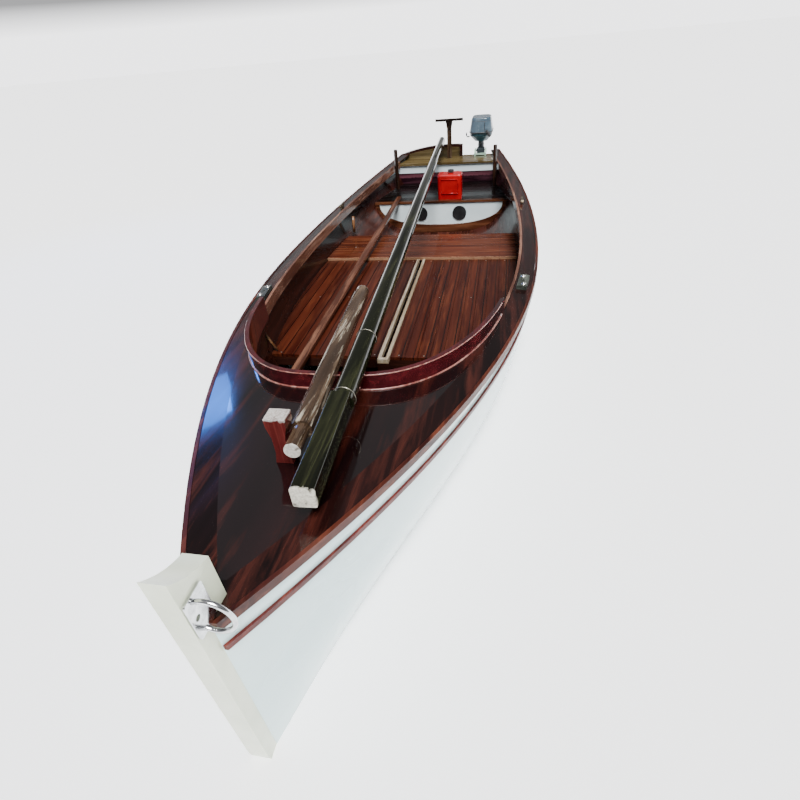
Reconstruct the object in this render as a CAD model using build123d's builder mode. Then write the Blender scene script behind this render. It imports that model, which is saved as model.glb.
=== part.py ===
"""Half-decked wooden sailing dayboat: hull, deck, cockpit, laid-down spars, rudder,
centreboard and outboard motor.

Millimetres. +X to the bow, +Y to port, +Z up. The origin is on the waterline, on the
centreline, halfway along the hull.
"""
import math
import os

from build123d import *

# ---------------------------------------------------------------- hull lines
HULL_LENGTH = 5210.0
BEAM = 1552.0               # to the outside of the planking
STEM_SIDING = 60.0          # width of the flat the planking lands on
POST_SIDING = 58.0          # thickness of stem and keel
TRANSOM_RATIO = 0.627       # transom breadth as a share of the beam
WIDEST_AT = 0.55            # share of the length, from the stem
BOW_FULLNESS = 2.3
RUN_FULLNESS = 1.9
BOW_HEIGHT = 598.0          # top of the planking above the water, at the stem
SHEER_SAG = 300.0           # middle control height of the sheer's curve
STERN_HEIGHT = 506.0        # top of the planking at the transom
FOREFOOT_HEIGHT = -60.0     # bottom of the planking at the stem
HULL_DEPTH = 170.0          # deepest planking below the water
DEEPEST_AT = 0.42
TUCK_HEIGHT = 110.0         # bottom of the transom
PLANKING = 18.0
CEILING = 7.0               # inner planking
CEILING_TOP = 400.0
BEDDING = 0.6               # compound between pieces laid on curved planking

# ---------------------------------------------------------------- deck and cockpit
DECK = 12.0
DECK_CAMBER_RADIUS = 5260.0
COVERING_BOARD = 81.0
COAMING_FRONT = 1688.0      # foremost point of the coaming's outer face
COAMING_ENDS = 930.0        # where the raised coaming stops
COAMING = 18.0
COAMING_TOP = 607.0         # at its front
COAMING_FALL = 0.088        # drop per unit of length, going aft
COAMING_SKIRT = 120.0
COAMING_CURVE = 3.5         # exponent of the rounded front
WELL_AFT = -2265.0          # aft end of the cockpit opening
TRIM = 14.0
TRIM_DROP = 30.0
TRIM_LIP = 8.0
FOREDECK_TAIL = 1150.0      # where the foredeck runs out beside the coaming

# ---------------------------------------------------------------- inside
FLOOR_TOP = 200.0
FLOOR = 18.0
FLOOR_FRONT = 915.0
STEP_FRONT = -430.0
STEP_AFT = -930.0
STEP = 18.0
PLANK_PITCH = 65.0
PLANK_SEAM = 2.0
FIRST_PLANK = 43.0
CAPPING = 17.0
CAPPING_PROUD = 6.0
FLOOR_BEAM = 40.0
STEP_HALF = 555.0

SLOT_WIDTH = 24.0
SLOT_FRONT = 930.0
SLOT_AFT = -445.0
CASE_WALL = 20.0
BOARD_THICKNESS = 14.0
BOARD_LENGTH = 1290.0
BOARD_DEPTH = 330.0
BOARD_PIN = (850.0, -90.0)
BOARD_PIN_RADIUS = 8.0

BULKHEAD_X = -1617.0
BULKHEAD = 15.0
BENCH_TOP = 292.0
BENCH = 15.0
CAP_DEPTH = 45.0
HATCH_RADIUS = 62.0
HATCH_SPREAD = 177.0
HATCH_HEIGHT = 185.0
MOULDING = 16.0
CRESCENT_HALF = 560.0       # bulkhead's white face at the cap, half its width
CRESCENT_LOW = 85.0         # its lowest edge
CRESCENT_CURVE = 2.4
RISER_X = -2290.0
RISER_TOP = 392.0
FASCIA_TOP = 462.0
AFT_DECK = 15.0
PANEL = 12.0

# ---------------------------------------------------------------- stern
TRANSOM = 30.0
TRANSOM_CROWN = 566.0
TRANSOM_SHOULDER = 498.0
TRANSOM_CAP = 22.0
TRANSOM_CAP_DEPTH = 44.0
NOTCH_LOW = 135.0
NOTCH_HIGH = 455.0
NOTCH_SILL = 480.0

# ---------------------------------------------------------------- stem ring
RING_X = 2620.0
RING_Z = 668.0
RING_RADIUS = 50.0
RING_STAND = 28.0           # ring's centre, out from the stem
RING_ROD = 5.5
RING_PLATE = 5.0
RING_PLATE_WIDTH = 62.0
RING_PLATE_HEIGHT = 112.0     # ends above the rub rail

# ---------------------------------------------------------------- outside strips
RAIL_PROUD = 14.0
RAIL_HEIGHT = 28.0
STRIP_PROUD = 9.0
STRIP_HEIGHT = 17.0
STRIP_DROP = 83.0           # middle of the lower strip below the sheer
KEEL_DEPTH = 60.0
STEM_FACE = 40.0            # stem's fore face ahead of the planking
STEM_HEAD = 112.0           # fore-and-aft length of the head above the deck
STEM_HEAD_AFT = 733.0
STEM_HEAD_FRONT = 800.0
FOREFOOT = 320.0            # where the stem runs into the keel
SKEG_HEEL = -215.0          # underside of the keel at the stern

# ---------------------------------------------------------------- spars, laid on the boat
MAST_RADIUS = 38.0
MAST_TIP_RADIUS = 34.0
MAST_HEEL = (2303.0, 134.0)
MAST_TIP = (-2625.0, -82.0)
MAST_SQUARE_LENGTH = 400.0
MAST_SQUARE = 62.0
MAST_SQUARE_SHIFT = (0.0, -12.0)  # heel's middle against the round part's
BOWSPRIT_FRONT = (2133.0, 41.0, 652.0)
BOWSPRIT_BACK = (1020.0, -34.0)
BOWSPRIT_RADIUS = 31.0
BOWSPRIT_TENON = 24.0
BOWSPRIT_TENON_LENGTH = 95.0
OAR_FRONT = (1250.0, -425.0)
OAR_BACK = (-1700.0, -385.0)
OAR_WIDTH = 46.0
OAR_HEIGHT = 26.0
REST_GAP = 0.5

# ---------------------------------------------------------------- fittings
POST_X = -2100.0
POST_Y = 470.0
POST_RADIUS = 18.0
POST_TOP = 648.0
CRUTCH_X = -2500.0
CRUTCH_Y = 8.0
CRUTCH_TOP = 830.0
CRUTCH_BAR = 22.0
CRUTCH_LENGTH = 270.0
BITT_X = 2068.0
BITT_Y = -13.0
BITT_DEPTH = 52.0
BITT_HEIGHT = 158.0
PAD_X = {"port": 592.0, "starboard": 745.0}
PAD_LENGTH = 160.0
PAD_WIDTH = 50.0
PAD_HEIGHT = 20.0
PAD_INSET = 42.0
ROWLOCK_RADIUS = 7.0
CLEAT_X = -930.0
CAN_X = -1730.0
CAN_Y = 86.0
CAN_DEPTH = 150.0
CAN_WIDTH = 215.0
CAN_HEIGHT = 208.0

# ---------------------------------------------------------------- steering gear
RUDDER_PIN_X = 40.0         # pintle line, behind the transom's outer face
RUDDER_THICKNESS = 22.0
RUDDER_CHORD = 200.0
RUDDER_TOP = 545.0
RUDDER_FOOT = -215.0
PINTLE_RADIUS = 6.0
PINTLE_GAP = 0.1
RUDDER_STOCK_GAP = 20.0
GUDGEON = 14.0
GUDGEON_HEIGHTS = (-110.0, 400.0)

MOTOR_Y = 310.0
CLAMP_CHEEK = 14.0
GRIP_RADIUS = 13.0
GRIP_OUT = 55.0              # of its upper end, to port of the motor
GRIP_REACH = 96.0            # of its lower end
GRIP_RISE = 28.0
GRIP_DROP = 32.0
CLAMP_HALF = 60.0
CLAMP_WELL = 55.0            # cut in the aft deck for the clamp's jaws
MOTOR_STEER_X = 130.0       # steering axis, behind the transom's outer face
MOTOR_TILT_X = 62.0
MOTOR_TILT_Z = 505.0
PROP_RADIUS = 92.0
PROP_Z = -150.0
PROP_BACK = 190.0           # propeller, behind the steering axis
STEER_TUBE_RADIUS = 20.0
TILT_PIN_RADIUS = 8.0
SWIVEL_LOW = 340.0
SWIVEL_HIGH = 560.0
LEG_BACK = 75.0
PROP_HUB = 50.0
PROP_SHAFT = 7.0
PAN_TOP = 665.0
COWL_TOP = 798.0
COWL_LENGTH = 320.0
COWL_WIDTH = 232.0
MOVING_GAP = 6.0

STATIONS = (0.0, 0.04, 0.09, 0.16, 0.25, 0.36, 0.48, 0.60, 0.72, 0.84, 0.93, 1.0)
SECTION_POINTS = 10
HALF = HULL_LENGTH / 2
TRANSOM_FACE = -HALF
SIDING = STEM_SIDING / 2

os.makedirs("parts", exist_ok=True)


# ================================================================ hull curves
def x_at(t):
    """Place along the hull for a share t of the length, from the stem."""
    return HALF - t * HULL_LENGTH


def share_at(x):
    return min(max((HALF - x) / HULL_LENGTH, 0.0), 1.0)


def half_breadth(t):
    """Half-breadth of the hull at the sheer."""
    if t < WIDEST_AT:
        shape = 1 - (1 - t / WIDEST_AT) ** BOW_FULLNESS
        return SIDING + (BEAM / 2 - SIDING) * shape
    shape = ((t - WIDEST_AT) / (1 - WIDEST_AT)) ** RUN_FULLNESS
    return BEAM / 2 * (1 - (1 - TRANSOM_RATIO) * shape)


def sheer(t):
    return BOW_HEIGHT * (1 - t) ** 2 + 2 * SHEER_SAG * t * (1 - t) + STERN_HEIGHT * t ** 2


def bottom(t):
    """Height of the planking's underside on the centreline."""
    if t < DEEPEST_AT:
        rise = ((DEEPEST_AT - t) / DEEPEST_AT) ** 2.5
        return -HULL_DEPTH + (HULL_DEPTH + FOREFOOT_HEIGHT) * rise
    rise = ((t - DEEPEST_AT) / (1 - DEEPEST_AT)) ** 1.4
    return -HULL_DEPTH + (HULL_DEPTH + TUCK_HEIGHT) * rise


def bilge(t):
    """Exponent of the section's curve: fine at the ends, full amidships."""
    if t < 0.45:
        return 2.1 + 2.9 * (max(t - 0.05, 0.0) / 0.40) ** 1.6
    u = (t - 0.45) / 0.55
    return 5.0 - 2.7 * (3 * u * u - 2 * u ** 3)


def flare(t):
    return 0.10 + 0.10 * max(t - 0.5, 0.0) / 0.5


def side_y(t, z):
    """Half-breadth of the planking's outside at height z."""
    s = min(max((z - bottom(t)) / (sheer(t) - bottom(t)), 0.0), 1.0)
    n = bilge(t)
    full = (1 - (1 - s) ** n) ** (1 / n)
    return SIDING + (half_breadth(t) - SIDING) * ((1 - flare(t)) * full + flare(t) * s)


def even(points, count):
    """Pick count of the points, evenly spaced along the line through them."""
    lengths = [0.0]
    for a, b in zip(points, points[1:]):
        lengths.append(lengths[-1] + math.dist(a, b))
    chosen = []
    for k in range(count):
        target = lengths[-1] * k / (count - 1)
        i = min(range(len(lengths)), key=lambda j: abs(lengths[j] - target))
        chosen.append(points[i])
    return chosen


def section_curve(t, inset):
    """Points up the port side of a section, evenly spaced, moved inward by inset."""
    fine = []
    low, high, n = bottom(t), sheer(t), bilge(t)
    for i in range(241):
        angle = math.pi / 2 * (i / 240) ** 2
        full = math.sin(angle) ** (2 / n)
        s = 1 - math.cos(angle) ** (2 / n)
        y = SIDING + (half_breadth(t) - SIDING) * ((1 - flare(t)) * full + flare(t) * s)
        fine.append((y, low + s * (high - low)))
    moved = []
    for i, (y, z) in enumerate(fine):
        before, after = fine[max(i - 1, 0)], fine[min(i + 1, 240)]
        dy, dz = after[0] - before[0], after[1] - before[1]
        size = math.hypot(dy, dz)
        moved.append((y - inset * dz / size, z + inset * dy / size))
    return even(moved, SECTION_POINTS)


def station_plane(x):
    """Plane across the boat, its own x to port and its y up."""
    return Plane(origin=(x, 0, 0), x_dir=(0, 1, 0), z_dir=(1, 0, 0))


def hull_form(inset, rise, shares):
    """Solid that fills the hull inside the given inset, carried up above the sheer by rise."""
    with BuildPart() as form:
        for t, x in shares:
            side = section_curve(t, inset)
            top = (side[-1][0], side[-1][1] + rise)
            other = [(-y, z) for y, z in side]
            with BuildSketch(station_plane(x)):
                with BuildLine():
                    Spline(*side)
                    Line(side[0], other[0])
                    Spline(*other)
                    if rise > 0:
                        Line(side[-1], top)
                        Line(other[-1], (-top[0], top[1]))
                    Line(top, (-top[0], top[1]))
                make_face()
        loft()
    return form.part


def strip(outline, shares):
    """Long piece on the port side through one four-cornered outline for each station."""
    with BuildPart() as piece:
        for t in shares:
            with BuildSketch(station_plane(x_at(t))):
                with BuildLine():
                    Polyline(*outline(t), close=True)
                make_face()
        loft()
    return piece.part


def block(x1, x2, y1, y2, z1, z2):
    """Box between two corners, made away from any open builder."""
    size = (abs(x2 - x1), abs(y2 - y1), abs(z2 - z1))
    return Pos((x1 + x2) / 2, (y1 + y2) / 2, (z1 + z2) / 2) * Box(*size, mode=Mode.PRIVATE)


def finish(builder, label):
    builder.part.label = label
    export_step(builder.part, "parts/" + label + ".step")


outer_shares = [(t, x_at(t)) for t in STATIONS]
inner_shares = [(t, x_at(t)) for t in STATIONS[1:]] + [(1.0, TRANSOM_FACE - 40)]
outer_form = hull_form(0, 0, outer_shares)
inner_form = hull_form(PLANKING, 80, inner_shares)
room_form = hull_form(PLANKING + CEILING, 80, inner_shares)

slot_cut = block(SLOT_AFT, SLOT_FRONT, -SLOT_WIDTH / 2, SLOT_WIDTH / 2, -400, FLOOR_TOP + 40)
case_cut = block(
    SLOT_AFT - CASE_WALL,
    SLOT_FRONT + CASE_WALL,
    -SLOT_WIDTH / 2 - CASE_WALL,
    SLOT_WIDTH / 2 + CASE_WALL,
    -400,
    FLOOR_TOP - FLOOR,
)
port_side = block(-4000, 4000, 0, 2000, -1000, 2000)
starboard_side = block(-4000, 4000, -2000, 0, -1000, 2000)
ahead_of_transom = block(TRANSOM_FACE + TRANSOM, 4000, -2000, 2000, -1000, 2000)

# ================================================================ hull
with BuildPart() as planking_port:
    add(outer_form)
    add(inner_form, mode=Mode.SUBTRACT)
    add(slot_cut, mode=Mode.SUBTRACT)
    add(ahead_of_transom, mode=Mode.INTERSECT)
    add(port_side, mode=Mode.INTERSECT)
finish(planking_port, "planking_port")

with BuildPart() as planking_starboard:
    add(outer_form)
    add(inner_form, mode=Mode.SUBTRACT)
    add(slot_cut, mode=Mode.SUBTRACT)
    add(ahead_of_transom, mode=Mode.INTERSECT)
    add(starboard_side, mode=Mode.INTERSECT)
finish(planking_starboard, "planking_starboard")

with BuildPart() as ceiling_planking:
    add(inner_form)
    add(room_form, mode=Mode.SUBTRACT)
    add(case_cut, mode=Mode.SUBTRACT)
    add(block(TRANSOM_FACE + TRANSOM, x_at(0.08), -2000, 2000, -1000, CEILING_TOP), mode=Mode.INTERSECT)
finish(ceiling_planking, "ceiling_planking")


def arc_top(crown, shoulder, half_width):
    """Height of the transom's arched top at its centre, from three points."""
    return ThreePointArc((-half_width, shoulder), (0, crown), (half_width, shoulder))


stern_half = half_breadth(1.0)
with BuildPart() as transom:
    add(outer_form)
    add(block(TRANSOM_FACE, TRANSOM_FACE + TRANSOM, -2000, 2000, -1000, 2000), mode=Mode.INTERSECT)
    with BuildSketch(station_plane(TRANSOM_FACE)):
        with BuildLine():
            arc_top(TRANSOM_CROWN, TRANSOM_SHOULDER, stern_half)
            Polyline(
                (stern_half, TRANSOM_SHOULDER),
                (stern_half, TRANSOM_SHOULDER - 60),
                (-stern_half, TRANSOM_SHOULDER - 60),
                (-stern_half, TRANSOM_SHOULDER),
            )
        make_face()
    extrude(amount=TRANSOM)
    with BuildSketch(station_plane(TRANSOM_FACE)):
        with BuildLine():
            arc_top(TRANSOM_CROWN, TRANSOM_SHOULDER, stern_half)
            Polyline(
                (stern_half, TRANSOM_SHOULDER),
                (stern_half + 50, TRANSOM_SHOULDER),
                (stern_half + 50, TRANSOM_CROWN + 100),
                (-stern_half - 50, TRANSOM_CROWN + 100),
                (-stern_half - 50, TRANSOM_SHOULDER),
                (-stern_half, TRANSOM_SHOULDER),
            )
        make_face()
    extrude(amount=TRANSOM, mode=Mode.SUBTRACT)
    add(
        block(TRANSOM_FACE - 5, TRANSOM_FACE + TRANSOM + 5, NOTCH_LOW, NOTCH_HIGH, NOTCH_SILL, 900),
        mode=Mode.SUBTRACT,
    )
finish(transom, "transom")

with BuildPart() as transom_cap:
    with BuildSketch(station_plane(TRANSOM_FACE + TRANSOM - TRANSOM_CAP_DEPTH)):
        with BuildLine():
            arc_top(TRANSOM_CROWN, TRANSOM_SHOULDER, stern_half)
            Line((stern_half, TRANSOM_SHOULDER), (stern_half, TRANSOM_SHOULDER + TRANSOM_CAP))
            arc_top(TRANSOM_CROWN + TRANSOM_CAP, TRANSOM_SHOULDER + TRANSOM_CAP, stern_half)
            Line((-stern_half, TRANSOM_SHOULDER), (-stern_half, TRANSOM_SHOULDER + TRANSOM_CAP))
        make_face()
    extrude(amount=TRANSOM_CAP_DEPTH)
    add(
        block(TRANSOM_FACE - 100, TRANSOM_FACE + 100, NOTCH_LOW, NOTCH_HIGH, 300, 900),
        mode=Mode.SUBTRACT,
    )
    add(
        block(
            TRANSOM_FACE + TRANSOM,
            TRANSOM_FACE + TRANSOM + 20,
            NOTCH_LOW - 28,
            NOTCH_LOW,
            FASCIA_TOP + AFT_DECK,
            TRANSOM_CROWN + TRANSOM_CAP - 6,
        )
    )
finish(transom_cap, "transom_cap")



def rotated_plane(start, end):
    """Plane at start whose normal runs along a spar to end, its y as upright as it can be."""
    along = Vector(*end) - Vector(*start)
    sideways = along.cross(Vector(0, 0, 1)).normalized()
    return Plane(origin=start, x_dir=sideways, z_dir=along.normalized()), along.length


# ================================================================ deck
with BuildPart() as deck_slab:
    for share in STATIONS:
        edge, height = half_breadth(share), sheer(share)
        crown = height + edge ** 2 / (2 * DECK_CAMBER_RADIUS)
        with BuildSketch(station_plane(x_at(share))):
            with BuildLine():
                ThreePointArc((-edge, height), (0, crown), (edge, height))
                Line((edge, height), (edge, height + DECK))
                ThreePointArc((-edge, height + DECK), (0, crown + DECK), (edge, height + DECK))
                Line((-edge, height), (-edge, height + DECK))
            make_face()
    loft()


def deck_top(x, y):
    share = share_at(x)
    return sheer(share) + DECK + (half_breadth(share) ** 2 - y ** 2) / (2 * DECK_CAMBER_RADIUS)


def board_edge(x):
    """Inner edge of the covering board."""
    return half_breadth(share_at(x)) - COVERING_BOARD


COAMING_START = 908.0       # where the opening's front begins to round in


def opening_edge(inset, aft_end):
    """Port half of the cockpit opening's plan, from aft forward to the centreline."""
    fine = []
    for i in range(120):
        x = aft_end + (COAMING_START - aft_end) * i / 120
        fine.append((x, board_edge(x)))
    for i in range(121):
        angle = math.pi / 2 * i / 120
        x = COAMING_START + (COAMING_FRONT - COAMING_START) * math.sin(angle) ** (2 / COAMING_CURVE)
        y = board_edge(x) * math.cos(angle) ** (2 / COAMING_CURVE)
        fine.append((x, y))
    moved = []
    for i, (x, y) in enumerate(fine):
        before, after = fine[max(i - 1, 0)], fine[min(i + 1, 240)]
        dx, dy = after[0] - before[0], after[1] - before[1]
        size = math.hypot(dx, dy)
        moved.append((x + inset * dy / size, y - inset * dx / size))
    moved[-1] = (COAMING_FRONT - inset, 0.0)
    return even(moved, 26)


def opening_prism(inset, aft_end):
    """Upright solid over the cockpit opening."""
    port = opening_edge(inset, aft_end)
    around = port + [(x, -y) for x, y in reversed(port[:-1])]
    with BuildPart() as prism:
        with BuildSketch(Plane.XY.offset(200)):
            with BuildLine():
                Spline(*around)
                Line(around[-1], around[0])
            make_face()
        extrude(amount=700)
    return prism.part


opening = opening_prism(0, TRANSOM_FACE - 60)
coaming_room = opening_prism(COAMING, COAMING_ENDS - 300)

nose = [HALF - 5 * i for i in range(200) if board_edge(HALF - 5 * i) > 8][0]
foredeck_sides = [nose + (FOREDECK_TAIL - nose) * i / 9 for i in range(10)]
with BuildPart() as foredeck_region:
    port_line = [(x, board_edge(x)) for x in foredeck_sides]
    starboard_line = [(x, -y) for x, y in port_line]
    with BuildSketch(Plane.XY.offset(200)):
        with BuildLine():
            Spline(*port_line)
            Spline(*starboard_line)
            Line(port_line[0], starboard_line[0])
            Line(port_line[-1], starboard_line[-1])
        make_face()
    extrude(amount=700)

with BuildPart() as foredeck:
    add(deck_slab.part)
    add(foredeck_region.part, mode=Mode.INTERSECT)
    add(opening, mode=Mode.SUBTRACT)
finish(foredeck, "foredeck")

for side_name, side_block in (("port", port_side), ("starboard", starboard_side)):
    with BuildPart() as covering_board:
        add(deck_slab.part)
        add(foredeck_region.part, mode=Mode.SUBTRACT)
        add(opening, mode=Mode.SUBTRACT)
        add(ahead_of_transom, mode=Mode.INTERSECT)
        add(side_block, mode=Mode.INTERSECT)
        pad_x = PAD_X[side_name]
        socket_y = half_breadth(share_at(pad_x)) - PAD_INSET
        with BuildSketch(Plane.XY):
            with Locations((pad_x, socket_y if side_name == "port" else -socket_y)):
                Circle(ROWLOCK_RADIUS)
        extrude(amount=1000, mode=Mode.SUBTRACT)
    finish(covering_board, "covering_board_" + side_name)

with BuildPart() as coaming:
    with BuildSketch(Plane.XZ.offset(-1000)):
        drop = COAMING_FALL * (COAMING_FRONT - COAMING_ENDS)
        with BuildLine():
            Polyline(
                (COAMING_FRONT + 10, COAMING_TOP + 10 * COAMING_FALL),
                (COAMING_ENDS, COAMING_TOP - drop),
                (COAMING_ENDS, COAMING_TOP - drop - COAMING_SKIRT),
                (COAMING_FRONT + 10, COAMING_TOP - COAMING_SKIRT),
                close=True,
            )
        make_face()
    extrude(amount=2000)
    add(opening, mode=Mode.INTERSECT)
    add(coaming_room, mode=Mode.SUBTRACT)
finish(coaming, "coaming")


def trim_outline(share):
    out = half_breadth(share) - COVERING_BOARD - 2 * BEDDING
    low = sheer(share) - TRIM_DROP
    high = deck_top(x_at(share), out) + TRIM_LIP
    return [(out, low), (out, high), (out - TRIM, high), (out - TRIM, low)]


trim_start, trim_end = share_at(COAMING_ENDS), share_at(WELL_AFT)
trim_shares = [trim_start + (trim_end - trim_start) * i / 7 for i in range(8)]
with BuildPart() as cockpit_trim:
    add(strip(trim_outline, trim_shares))
    mirror(about=Plane.XZ)
finish(cockpit_trim, "cockpit_trim")


def rail_outline(share):
    edge, height = half_breadth(share) + BEDDING, sheer(share)
    low, high = height - RAIL_HEIGHT / 2, height + RAIL_HEIGHT / 2
    return [(edge, low), (edge, high), (edge + RAIL_PROUD, high), (edge + RAIL_PROUD, low)]


def strip_outline(share):
    low = sheer(share) - STRIP_DROP - STRIP_HEIGHT / 2
    high = low + STRIP_HEIGHT
    inner_low, inner_high = side_y(share, low) + BEDDING, side_y(share, high) + BEDDING
    return [
        (inner_low, low),
        (inner_high, high),
        (inner_high + STRIP_PROUD, high),
        (inner_low + STRIP_PROUD, low),
    ]


for side_name in ("port", "starboard"):
    with BuildPart() as rub_rail:
        add(strip(rail_outline, STATIONS))
        if side_name == "starboard":
            mirror(about=Plane.XZ, mode=Mode.REPLACE)
    finish(rub_rail, "rub_rail_" + side_name)
    with BuildPart() as lower_strip:
        add(strip(strip_outline, STATIONS))
        if side_name == "starboard":
            mirror(about=Plane.XZ, mode=Mode.REPLACE)
    finish(lower_strip, "lower_strip_" + side_name)

# ================================================================ stem and keel
keel_join = HALF - FOREFOOT
keel_under = bottom(share_at(keel_join)) - KEEL_DEPTH
with BuildPart() as stem_post:
    with BuildSketch(Plane.XZ.offset(-POST_SIDING / 2)):
        with BuildLine():
            Polyline(
                (keel_join, keel_under),
                (keel_join, 0),
                (HALF + STEM_FACE - STEM_HEAD, 0),
                (HALF + STEM_FACE - STEM_HEAD, STEM_HEAD_AFT),
            )
            Spline(
                (HALF + STEM_FACE - STEM_HEAD, STEM_HEAD_AFT),
                (HALF + STEM_FACE - STEM_HEAD / 2, STEM_HEAD_AFT + 22),
                (HALF + STEM_FACE, STEM_HEAD_FRONT),
            )
            Line((HALF + STEM_FACE, STEM_HEAD_FRONT), (HALF + STEM_FACE, 40))
            Spline(
                (HALF + STEM_FACE, 40),
                (HALF - 30, FOREFOOT_HEIGHT - 35),
                (keel_join, keel_under),
                tangents=((0, -1), (-1, -0.2)),
            )
        make_face()
    extrude(amount=POST_SIDING)
    add(outer_form, mode=Mode.SUBTRACT)
    add(deck_slab.part, mode=Mode.SUBTRACT)
finish(stem_post, "stem_post")

keel_shares = [share_at(keel_join) + (0.62 - share_at(keel_join)) * i / 5 for i in range(6)]
keel_line = [(x_at(share), bottom(share) - KEEL_DEPTH) for share in keel_shares]
with BuildPart() as keel:
    with BuildSketch(Plane.XZ.offset(-POST_SIDING / 2)):
        with BuildLine():
            Spline(*keel_line)
            Polyline(
                keel_line[-1],
                (TRANSOM_FACE, SKEG_HEEL),
                (TRANSOM_FACE, TUCK_HEIGHT + 10),
                (x_at(0.9), bottom(0.9) + 15),
                (x_at(0.62), 0),
                (keel_join, 0),
                (keel_join, keel_under),
            )
        make_face()
    extrude(amount=POST_SIDING)
    add(outer_form, mode=Mode.SUBTRACT)
    add(slot_cut, mode=Mode.SUBTRACT)
finish(keel, "keel")

with BuildPart() as gammon_ring:
    with BuildSketch(Plane.XZ.offset(-SIDING)):
        with Locations((RING_X - 8, RING_Z + 2)):
            RectangleRounded(RING_PLATE_WIDTH, RING_PLATE_HEIGHT, 8)
        with Locations((RING_X + 6, RING_Z)):
            Circle(7, mode=Mode.SUBTRACT)
    extrude(amount=-RING_PLATE)
    with Locations(Location((RING_X, SIDING + RING_STAND, RING_Z), (0, 90, 0))):
        Torus(RING_RADIUS, RING_ROD)
    add(block(RING_X - 100, RING_X + 100, -50, SIDING, 400, 900), mode=Mode.SUBTRACT)
finish(gammon_ring, "gammon_ring")

# ================================================================ floor and centreboard
planks = []
plank_top, plank_low = FLOOR_TOP, FLOOR_TOP - FLOOR
widest_room = BEAM / 2
for side in (1, -1):
    edge = SLOT_WIDTH / 2 + CAPPING + PLANK_SEAM
    planks.append((side * edge, side * (FIRST_PLANK - PLANK_SEAM)))
    edge = FIRST_PLANK
    while edge < widest_room - PLANK_PITCH:
        planks.append((side * edge, side * (edge + PLANK_PITCH - PLANK_SEAM)))
        edge += PLANK_PITCH
for side_name, side in (("port", 1), ("starboard", -1)):
    with BuildPart() as floor_boards:
        for near, far in planks:
            if near * side > 0:
                add(block(STEP_AFT, FLOOR_FRONT, near, far, plank_low, plank_top))
        add(room_form, mode=Mode.INTERSECT)
    finish(floor_boards, "floor_boards_" + side_name)

with BuildPart() as slot_capping:
    for side in (1, -1):
        near, far = side * SLOT_WIDTH / 2, side * (SLOT_WIDTH / 2 + CAPPING)
        add(block(STEP_FRONT, SLOT_FRONT + CASE_WALL, near, far, plank_low, FLOOR_TOP + CAPPING_PROUD))
    cross = SLOT_WIDTH / 2 + CAPPING
    add(block(SLOT_FRONT, SLOT_FRONT + CASE_WALL, -cross, cross, plank_low, FLOOR_TOP + CAPPING_PROUD))
finish(slot_capping, "slot_capping")

with BuildPart() as floor_beams:
    for x in (FLOOR_FRONT - FLOOR_BEAM, STEP_AFT):
        add(block(x, x + FLOOR_BEAM, -2000, 2000, plank_low - 50, plank_low))
    add(room_form, mode=Mode.INTERSECT)
    add(case_cut, mode=Mode.SUBTRACT)
finish(floor_beams, "floor_beams")

with BuildPart() as centreboard_case:
    add(inner_form)
    add(case_cut, mode=Mode.INTERSECT)
    add(slot_cut, mode=Mode.SUBTRACT)
finish(centreboard_case, "centreboard_case")

pin_x, pin_z = BOARD_PIN
with BuildPart() as centreboard:
    with BuildSketch(Plane.XZ.offset(-BOARD_THICKNESS / 2)):
        with BuildLine():
            Polyline(
                (pin_x + 55, pin_z + 55),
                (pin_x + 55 - BOARD_LENGTH, pin_z + BOARD_DEPTH - 80),
                (pin_x + 55 - BOARD_LENGTH, pin_z - 110),
                (pin_x - 100, pin_z - 130),
                (pin_x + 55, pin_z - 55),
                close=True,
            )
        make_face()
        fillet(vertices(), radius=40)
        with Locations((pin_x, pin_z)):
            Circle(BOARD_PIN_RADIUS + PINTLE_GAP, mode=Mode.SUBTRACT)
    extrude(amount=BOARD_THICKNESS)
finish(centreboard, "centreboard")

with BuildPart() as centreboard_pin:
    with BuildSketch(Plane.XZ.offset(-SLOT_WIDTH / 2)):
        with Locations((pin_x, pin_z)):
            Circle(BOARD_PIN_RADIUS)
    extrude(amount=SLOT_WIDTH)
finish(centreboard_pin, "centreboard_pin")

# ================================================================ cockpit joinery
step_low, step_high = FLOOR_TOP, FLOOR_TOP + STEP
with BuildPart() as step_boards:
    add(block(STEP_AFT, STEP_FRONT, -2000, -STEP_HALF - PLANK_SEAM, step_low, step_high))
    add(block(STEP_AFT, STEP_FRONT, -STEP_HALF, STEP_HALF, step_low, step_high))
    add(block(STEP_AFT, STEP_FRONT, STEP_HALF + PLANK_SEAM, 2000, step_low, step_high))
    add(room_form, mode=Mode.INTERSECT)
finish(step_boards, "step_boards")

with BuildPart() as bulkhead:
    add(block(BULKHEAD_X - BULKHEAD, BULKHEAD_X, -2000, 2000, -400, BENCH_TOP - BENCH))
    add(room_form, mode=Mode.INTERSECT)
    with BuildSketch(station_plane(BULKHEAD_X)):
        with Locations((HATCH_SPREAD, HATCH_HEIGHT), (-HATCH_SPREAD, HATCH_HEIGHT)):
            Circle(HATCH_RADIUS - 8)
    extrude(amount=-BULKHEAD, mode=Mode.SUBTRACT)
finish(bulkhead, "bulkhead")

with BuildPart() as locker_hatches:
    with BuildSketch(station_plane(BULKHEAD_X)):
        with Locations((HATCH_SPREAD, HATCH_HEIGHT), (-HATCH_SPREAD, HATCH_HEIGHT)):
            Circle(HATCH_RADIUS)
    extrude(amount=7)
    with BuildSketch(station_plane(BULKHEAD_X)):
        with Locations((HATCH_SPREAD, HATCH_HEIGHT), (-HATCH_SPREAD, HATCH_HEIGHT)):
            Circle(HATCH_RADIUS - 9)
    extrude(amount=-BULKHEAD)
finish(locker_hatches, "locker_hatches")

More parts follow.
